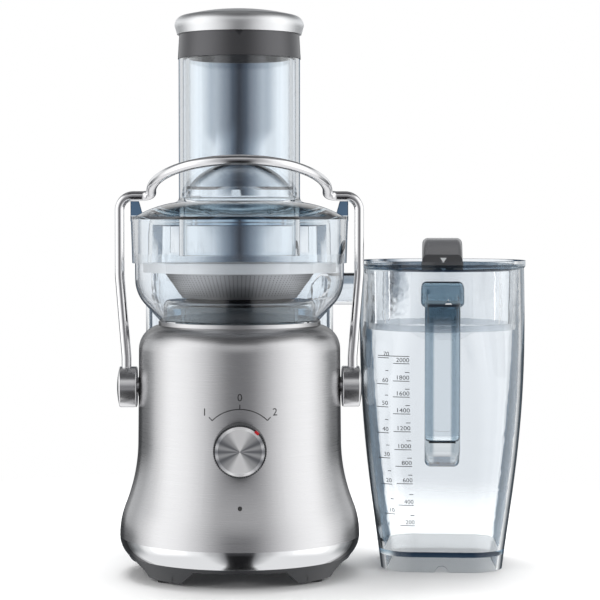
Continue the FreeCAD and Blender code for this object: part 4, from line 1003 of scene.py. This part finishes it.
@dataclass
class Dial(Assembly):
    """Speed dial: knurled side, spun face, and the scale printed round it."""

    kept: ClassVar[Finishes] = {"dial_bush": MACHINED, "speed_switch": INNER}
    smoothed: ClassVar[Finishes] = {"speed_dial": DARK, "dial_pointer": RED}

    axis_z: float = DIAL_Z
    back_y: float = -82.0
    front_y: float = -100.5
    knob_r: float = 20.1
    face_r: float = 16.3
    edge_r: float = 18.6
    face_top: float = 2.0
    bevel: float = 1.2
    sharp: float = 6.0
    groove: float = 0.8
    groove_depth: float = 0.07
    ridges: int = 72
    ridge_r: float = 0.55
    ridge_sides: int = 8
    ridge_gap: float = 3.0
    scale_r: float = 29.8
    scale_half: float = 45.0
    arc_steps: int = 30
    tick: float = 3.6
    line: float = 0.7
    figure_r: float = 36.5
    figure_h: float = 5.6
    steps: int = 96
    body_r: float = 80.0

    def face(self) -> bpy.types.Object:
        """Spun metal face with fine rings and a polished bevel.

        Returns:
            The piece.
        """
        top = self.front_y
        rings = int(self.face_r / self.groove)
        profile = [(0.0, top)]
        for i in range(1, 2 * rings):
            dip = self.groove_depth if i % 2 else 0.0
            profile.append((i * self.groove / 2, top + dip))
        profile += [(self.face_r, top), (self.edge_r, top + self.bevel), (self.edge_r, top + self.face_top),
                    (0.0, top + self.face_top)]
        shape = bmesh.new()
        rows: list[list[bmesh.types.BMVert]] = []
        for radius, y in profile:
            count = self.steps if radius else 1
            turns = [2 * math.pi * k / count for k in range(count)]
            rows.append([shape.verts.new((radius * MM * math.sin(t), y * MM,
                                          (self.axis_z + radius * math.cos(t)) * MM)) for t in turns])
        Piece.bridge(shape, rows)
        bmesh.ops.recalc_face_normals(shape, faces=shape.faces[:])
        return Piece.from_shape("dial_face_piece", shape, SPUN, self.sharp)

    def knurl(self) -> bpy.types.Object:
        """Fine ridges round the knob's side.

        Returns:
            The piece.
        """
        depth = self.back_y - self.front_y - self.ridge_gap
        pattern = Pattern("dial_knurl")
        radius = pattern.size("Ring radius", (self.knob_r - self.ridge_r) * MM)
        ridge = pattern.size("Ridge radius", self.ridge_r * MM)
        length = pattern.size("Ridge length", depth * MM)
        count = pattern.size("Count", self.ridges, "NodeSocketInt")
        ring = pattern.add("GeometryNodeMeshCircle", {"Vertices": count, "Radius": radius})
        bar = pattern.add("GeometryNodeMeshCylinder", {
            "Vertices": self.ridge_sides, "Radius": ridge, "Depth": length})
        bars = pattern.add("GeometryNodeInstanceOnPoints", {"Points": ring, "Instance": bar})
        middle = (0.0, (self.back_y + self.front_y) / 2 * MM, self.axis_z * MM)
        place = Matrix.Translation(middle) @ Matrix.Rotation(math.pi / 2, 4, "X")
        return pattern.make(bars, place, DARK)

    def spot(self, radius: float, degrees: float) -> Pair:
        """A point of the scale, on the sheet that is wrapped on the steel."""
        turn = math.radians(degrees)
        return radius * math.sin(turn), self.axis_z + radius * math.cos(turn)

    def scale(self, body: bpy.types.Object) -> bpy.types.Object:
        """Arc, ticks and plain figures on the steel.

        Args:
            body: the steel body's piece.

        Returns:
            The marks.
        """
        ink = Print(body, (0.0, 0.0), self.body_r)
        arc = [self.scale_half * (2 * k / self.arc_steps - 1) for k in range(self.arc_steps + 1)]
        ink.stroke([self.spot(self.scale_r, degrees) for degrees in arc], self.line)
        for degrees, figure in ((-self.scale_half, "1"), (0.0, "0"), (self.scale_half, "2")):
            ends = (self.scale_r, self.scale_r + self.tick)
            ink.stroke([self.spot(radius, degrees) for radius in ends], self.line)
            x, z = self.spot(self.figure_r + self.figure_h / 3, degrees)
            ink.digits(figure, x, z, self.figure_h)
        return ink.lay("dial_scale", INK)

    def add_own(self, pieces: Pieces) -> None:
        """Makes the spun face and the knurled side."""
        Piece.seat(self.face(), "dial", SPUN, "dial_face")
        Piece.seat(self.knurl(), "dial", DARK)

    def print_on(self, body: bpy.types.Object) -> None:
        """Prints the scale on the steel."""
        Piece.seat(self.scale(body), "base", INK)


@dataclass
class Jug(Assembly):
    """Clear jug with its lid, seal, strap, froth baffle, graduations and two small arrows."""

    smoothed: ClassVar[Finishes] = {
        "jug": JUG_CLEAR, "jug_lid": LID_CLEAR, "lid_seal": SEAL, "lid_grip": GRIP,
        "froth_separator": LID_CLEAR}

    axis: Pair = JUG_AXIS
    wall_r: float = 62.0
    main_ends: Pair = (-40.6, -29.2)
    main_unit: int = 200
    main_dash: float = 3.0
    side_ends: Pair = (-53.3, -44.0)
    side_unit: int = 10
    side_dash: float = 2.4
    litre_levels: Sequence[float] = (37.7, 54.2, 71.5, 85.4, 98.7, 113.0, 127.1, 140.4, 152.9, 166.6)
    side_levels: Sequence[float] = (47.0, 71.0, 92.0, 112.0, 132.5, 150.5, 171.0)
    top_level: float = 171.2
    line: float = 0.55
    runs: int = 6
    figure_h: float = 3.3
    figure_gap: float = 1.0
    arrow: float = 2.6
    grip_r: float = 103.0
    grip_spot: Pair = (-5.5, 216.0)
    strap_r: float = 40.0
    strap_spot: Pair = (-3.0, 247.5)

    def graduations(self, jug: bpy.types.Object) -> bpy.types.Object:
        """Lines and figures on the jug's front.

        Args:
            jug: the jug's piece.

        Returns:
            The marks.
        """
        ink = Print(jug, self.axis, self.wall_r)
        self.column(ink, self.main_ends, self.litre_levels, self.main_unit, self.main_dash)
        self.column(ink, self.side_ends, self.side_levels, self.side_unit, self.side_dash, self.line / 2)
        self.line_at(ink, self.side_ends[0], self.main_ends[1], self.top_level + 2 * self.line)
        return ink.lay("jug_graduations", GREY_INK)

    def column(self, ink: Print, ends: Pair, levels: Sequence[float], unit: int, dash: float,
               drop: float = 0.0) -> None:
        """One column of level lines, with a figure over each and a short dash between two.

        Args:
            ink: the sheet it is printed on.
            ends: left and right end of its lines.
            levels: heights of its lines.
            unit: what one step of its figures counts.
            dash: length of the dashes.
            drop: how far the lines lie below their levels.
        """
        left, right = ends
        for k, z in enumerate(levels):
            self.line_at(ink, left, right, z - drop)
            middle = z + self.figure_h / 2 + self.figure_gap
            ink.digits(str(unit * (k + 1)), right, middle, self.figure_h, "RIGHT")
            if k:
                self.line_at(ink, right - dash, right, (z + levels[k - 1]) / 2)

    def line_at(self, ink: Print, left: float, right: float, z: float) -> None:
        """One level line in short runs, so that it follows the wall."""
        step = (right - left) / self.runs
        ink.stroke([(left + step * k, z) for k in range(self.runs + 1)], self.line)

    def arrow_on(self, ink: Print, name: str, spot: Pair, way: float) -> bpy.types.Object:
        """A small filled triangle.

        Args:
            ink: the surface it is printed on.
            name: the mark's name.
            spot: its middle.
            way: 1 for up, -1 for down.

        Returns:
            The mark.
        """
        x, z = spot
        rise = self.arrow * way
        ink.patch([(x - self.arrow, z - rise / 2), (x + self.arrow, z - rise / 2), (x, z + rise)])
        return ink.lay(name, WHITE_INK)

    def add_own(self, pieces: Pieces) -> None:
        """Prints the graduations and the two arrows.

        Args:
            pieces: the smooth pieces by node.
        """
        jug, strap = pieces["jug"], pieces["lid_grip"]
        Piece.seat(self.graduations(jug), "jug", GREY_INK)
        grip = Print(jug, self.axis, self.grip_r)
        Piece.seat(self.arrow_on(grip, "grip_arrow", self.grip_spot, 1.0), "jug", WHITE_INK)
        crown = Print(strap, self.axis, self.strap_r)
        Piece.seat(self.arrow_on(crown, "strap_arrow", self.strap_spot, -1.0), "jug_lid", WHITE_INK)


@dataclass(frozen=True)
class Patch:
    """A patch of the surroundings. Each bound is where it starts and where it is complete."""

    colour: Colour
    turn: Pair | None = None
    above: Pair | None = None
    below: Pair | None = None

    def lay(self, graph: Graph, under: Term, turn: Term, up: Term) -> Term:
        """Blends the patch over the surroundings.

        Args:
            graph: the world's nodes.
            under: the colour so far.
            turn: the way round, 0 in front and 1 behind.
            up: the height of the way, from -1 to 1.

        Returns:
            The colour with the patch.
        """
        share: Any = 1.0
        for value, bound in ((turn, self.turn), (up, self.above)):
            if bound:
                share = share * graph.rise(value, *bound)
        if self.below:
            share = share * (1.0 - graph.rise(up, *self.below))
        return graph.blend(share, under, self.colour)


@dataclass(frozen=True)
class Softbox:
    """An area light, with its place in millimetres, its size in metres and its power in watts."""

    name: str
    place: Triple
    size: Pair
    power: float

    def hang(self, aim: Vector) -> None:
        """Hangs the light so that it faces a point.

        Args:
            aim: the point, in metres.
        """
        data = bpy.data.lights.new(self.name, "AREA")
        data.shape = "RECTANGLE"
        data.size, data.size_y = self.size
        data.energy = self.power
        lamp = bpy.data.objects.new(self.name, data)
        lamp.location = Vector(self.place) * MM
        lamp.rotation_euler = (aim - lamp.location).to_track_quat("-Z", "Y").to_euler()
        lamp.visible_glossy = False
        bpy.context.scene.collection.objects.link(lamp)


@dataclass
class Studio:
    """Camera, white sweep, softboxes and the surroundings that bright parts mirror."""

    lens: float = 120.0
    sensor: float = 36.0
    near: float = 0.05
    stand: Triple = (0.0, -1580.0, 285.0)
    pitch: float = 2.52
    yaw: float = 1.73
    ambient: float = 0.6
    open_sky: Stops = ((0.05, (0.15, 0.15, 0.15)), (0.6, (1.0, 1.0, 1.0)))
    floor_fade: Pair = (260.0, 620.0)
    floor_steps: int = 96
    aim: Triple = (60.0, 20.0, 180.0)
    softboxes: Sequence[Softbox] = (
        Softbox("top_light", (100.0, 700.0, 2100.0), (1.8, 1.4), 52.0),
        Softbox("left_light", (-1500.0, -900.0, 900.0), (0.9, 1.6), 11.0),
        Softbox("right_light", (1500.0, -900.0, 900.0), (0.9, 1.6), 11.0))
    mirrored_walls: Stops = (
        (0.0, (0.11, 0.112, 0.12)), (0.08, (0.11, 0.112, 0.12)), (0.086, (0.27, 0.27, 0.28)),
        (0.14, (0.5, 0.5, 0.51)), (0.24, (0.95, 0.95, 0.96)), (0.34, (1.3, 1.3, 1.3)),
        (0.48, (1.45, 1.45, 1.45)), (0.57, (1.0, 1.0, 1.0)), (0.66, (0.36, 0.37, 0.38)),
        (0.74, (0.12, 0.125, 0.13)), (1.0, (0.05, 0.055, 0.065)))
    # The pale wall behind, the dark strip in its middle, the dim ceiling and the bright ground
    patches: Sequence[Patch] = (
        Patch((0.86, 0.87, 0.88), turn=(0.58, 0.7), above=(-0.05, -0.03), below=(0.32, 0.5)),
        Patch((0.03, 0.05, 0.08), turn=(0.87, 0.92), above=(-0.05, -0.03), below=(0.1, 0.13)),
        Patch((0.22, 0.22, 0.225), above=(0.66, 0.85)),
        Patch((0.85, 0.85, 0.86), turn=(0.09, 0.24), below=(-0.6, -0.35)))
    front_half: float = 0.25
    front_flare: float = 0.12
    front_soft: float = 0.02
    front_end: Pair = (0.05, 0.2)
    mirrored_front: Stops = (
        (0.0, (0.01, 0.01, 0.011)), (0.26, (0.012, 0.012, 0.013)), (0.35, (0.05, 0.05, 0.055)),
        (0.42, (0.28, 0.28, 0.29)), (0.48, (0.17, 0.17, 0.18)), (0.54, (0.14, 0.142, 0.15)),
        (0.66, (0.4, 0.4, 0.41)), (0.8, (0.6, 0.6, 0.61)), (0.88, (0.07, 0.07, 0.075)))
    high_band: float = 0.52
    high_from: Pair = (0.0, 0.02)
    walls_through: Stops = (
        (0.0, (0.6, 0.64, 0.7)), (0.3, (0.9, 0.92, 0.95)), (0.45, (0.9, 0.92, 0.95)),
        (0.6, (0.8, 0.84, 0.88)), (0.8, (0.8, 0.84, 0.88)), (0.86, (0.9, 0.92, 0.95)),
        (0.92, (0.95, 0.97, 1.0)), (0.982, (0.97, 0.98, 1.0)), (0.9886, (0.52, 0.57, 0.63)),
        (0.992, (0.3, 0.35, 0.41)), (0.995, (0.2, 0.24, 0.29)), (0.9974, (0.09, 0.12, 0.17)),
        (0.9986, (0.012, 0.018, 0.032)), (1.0, (0.012, 0.018, 0.032)))
    ground_through: Colour = (0.94, 0.96, 0.99)
    ground_end: Pair = (-0.05, -0.035)

    def camera(self) -> None:
        """Places the camera that took the photograph."""
        data = bpy.data.cameras.new("camera")
        data.lens = self.lens
        data.sensor_width = self.sensor
        data.clip_start = self.near
        eye = bpy.data.objects.new("camera", data)
        eye.location = Vector(self.stand) * MM
        eye.rotation_euler = (math.radians(90 - self.pitch), 0.0, math.radians(-self.yaw))
        bpy.context.scene.collection.objects.link(eye)
        bpy.context.scene.camera = eye

    def surroundings(self) -> None:
        """White for the camera, bright and dark walls for mirrors, pale walls through clear plastic."""
        world = bpy.data.worlds.new("studio")
        bpy.context.scene.world = world
        world.use_nodes = True
        tree = world.node_tree
        graph = Graph(tree)
        side, back, up = graph.parts("Generated")
        turn = side.maths("ARCTAN2", side.size(), 0.0 - back) / math.pi
        mirrored = graph.ramp(turn, self.mirrored_walls)
        for patch in self.patches:
            mirrored = patch.lay(graph, mirrored, turn, up)
        beside = graph.rise(side.size() - (self.front_half + up * self.front_flare), 0.0, self.front_soft)
        ahead = (1.0 - beside) * (1.0 - graph.rise(back, *self.front_end))
        mirrored = graph.blend(ahead, mirrored, graph.ramp(0.5 + up * 0.5, self.mirrored_front))
        narrow = 1.0 - graph.rise(up, *self.high_from) * self.high_band
        through = graph.ramp(1.0 - (1.0 - turn) * narrow, self.walls_through)
        through = graph.blend(graph.rise(up, *self.ground_end), self.ground_through, through)
        rays = graph.node("ShaderNodeLightPath", {}).outputs
        glossy, clear, camera = (Term(tree, rays[f"Is {kind} Ray"])
                                 for kind in ("Glossy", "Transmission", "Camera"))
        open_sky = graph.ramp(up, self.open_sky)
        level = camera + (1.0 - camera) * open_sky * self.ambient
        plain = graph.add("ShaderNodeCombineColor", {0: level, 1: level, 2: level})
        colour = graph.blend(glossy * (1.0 - clear), graph.blend(clear, plain, through), mirrored)
        Term.feed(tree, tree.nodes["Background"].inputs["Color"], colour)

    def floor(self) -> None:
        """White ground that takes the contact shadow and fades into the white round it."""
        shape = bmesh.new()
        whole, gone = (radius * MM for radius in self.floor_fade)
        bmesh.ops.create_circle(shape, cap_ends=True, segments=self.floor_steps, radius=gone)
        ground = Piece.from_shape("floor", shape, FLOOR)
        ground.visible_glossy = False
        graph = Graph(FLOOR.material().node_tree)
        place = graph.add("ShaderNodeTexCoord", {}, "Object")
        reach = graph.add("ShaderNodeVectorMath", {0: place}, "Value", operation="LENGTH")
        fade = 1.0 - graph.rise(reach, whole, gone)
        Term.feed(graph.tree, graph.tree.nodes["Principled BSDF"].inputs["Alpha"], fade)

    def build(self) -> None:
        """Sets up the whole studio."""
        self.camera()
        self.surroundings()
        self.floor()
        for softbox in self.softboxes:
            softbox.hang(Vector(self.aim) * MM)
        bpy.context.scene.view_settings.view_transform = "Standard"


def main() -> None:
    """Builds the studio and every piece."""
    logging.basicConfig(level=logging.INFO, format="%(name)s: %(message)s")
    frame = Frame(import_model())
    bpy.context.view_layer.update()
    Studio().build()
    base = Base().build(frame)
    dial = Dial()
    for assembly in (Motor(), dial, Basket(), Juicing(), Arm(), Pusher(), PulpBin(), Jug()):
        assembly.build(frame)
    dial.print_on(base["body_shell"])


if __name__ == "__main__":
    main()
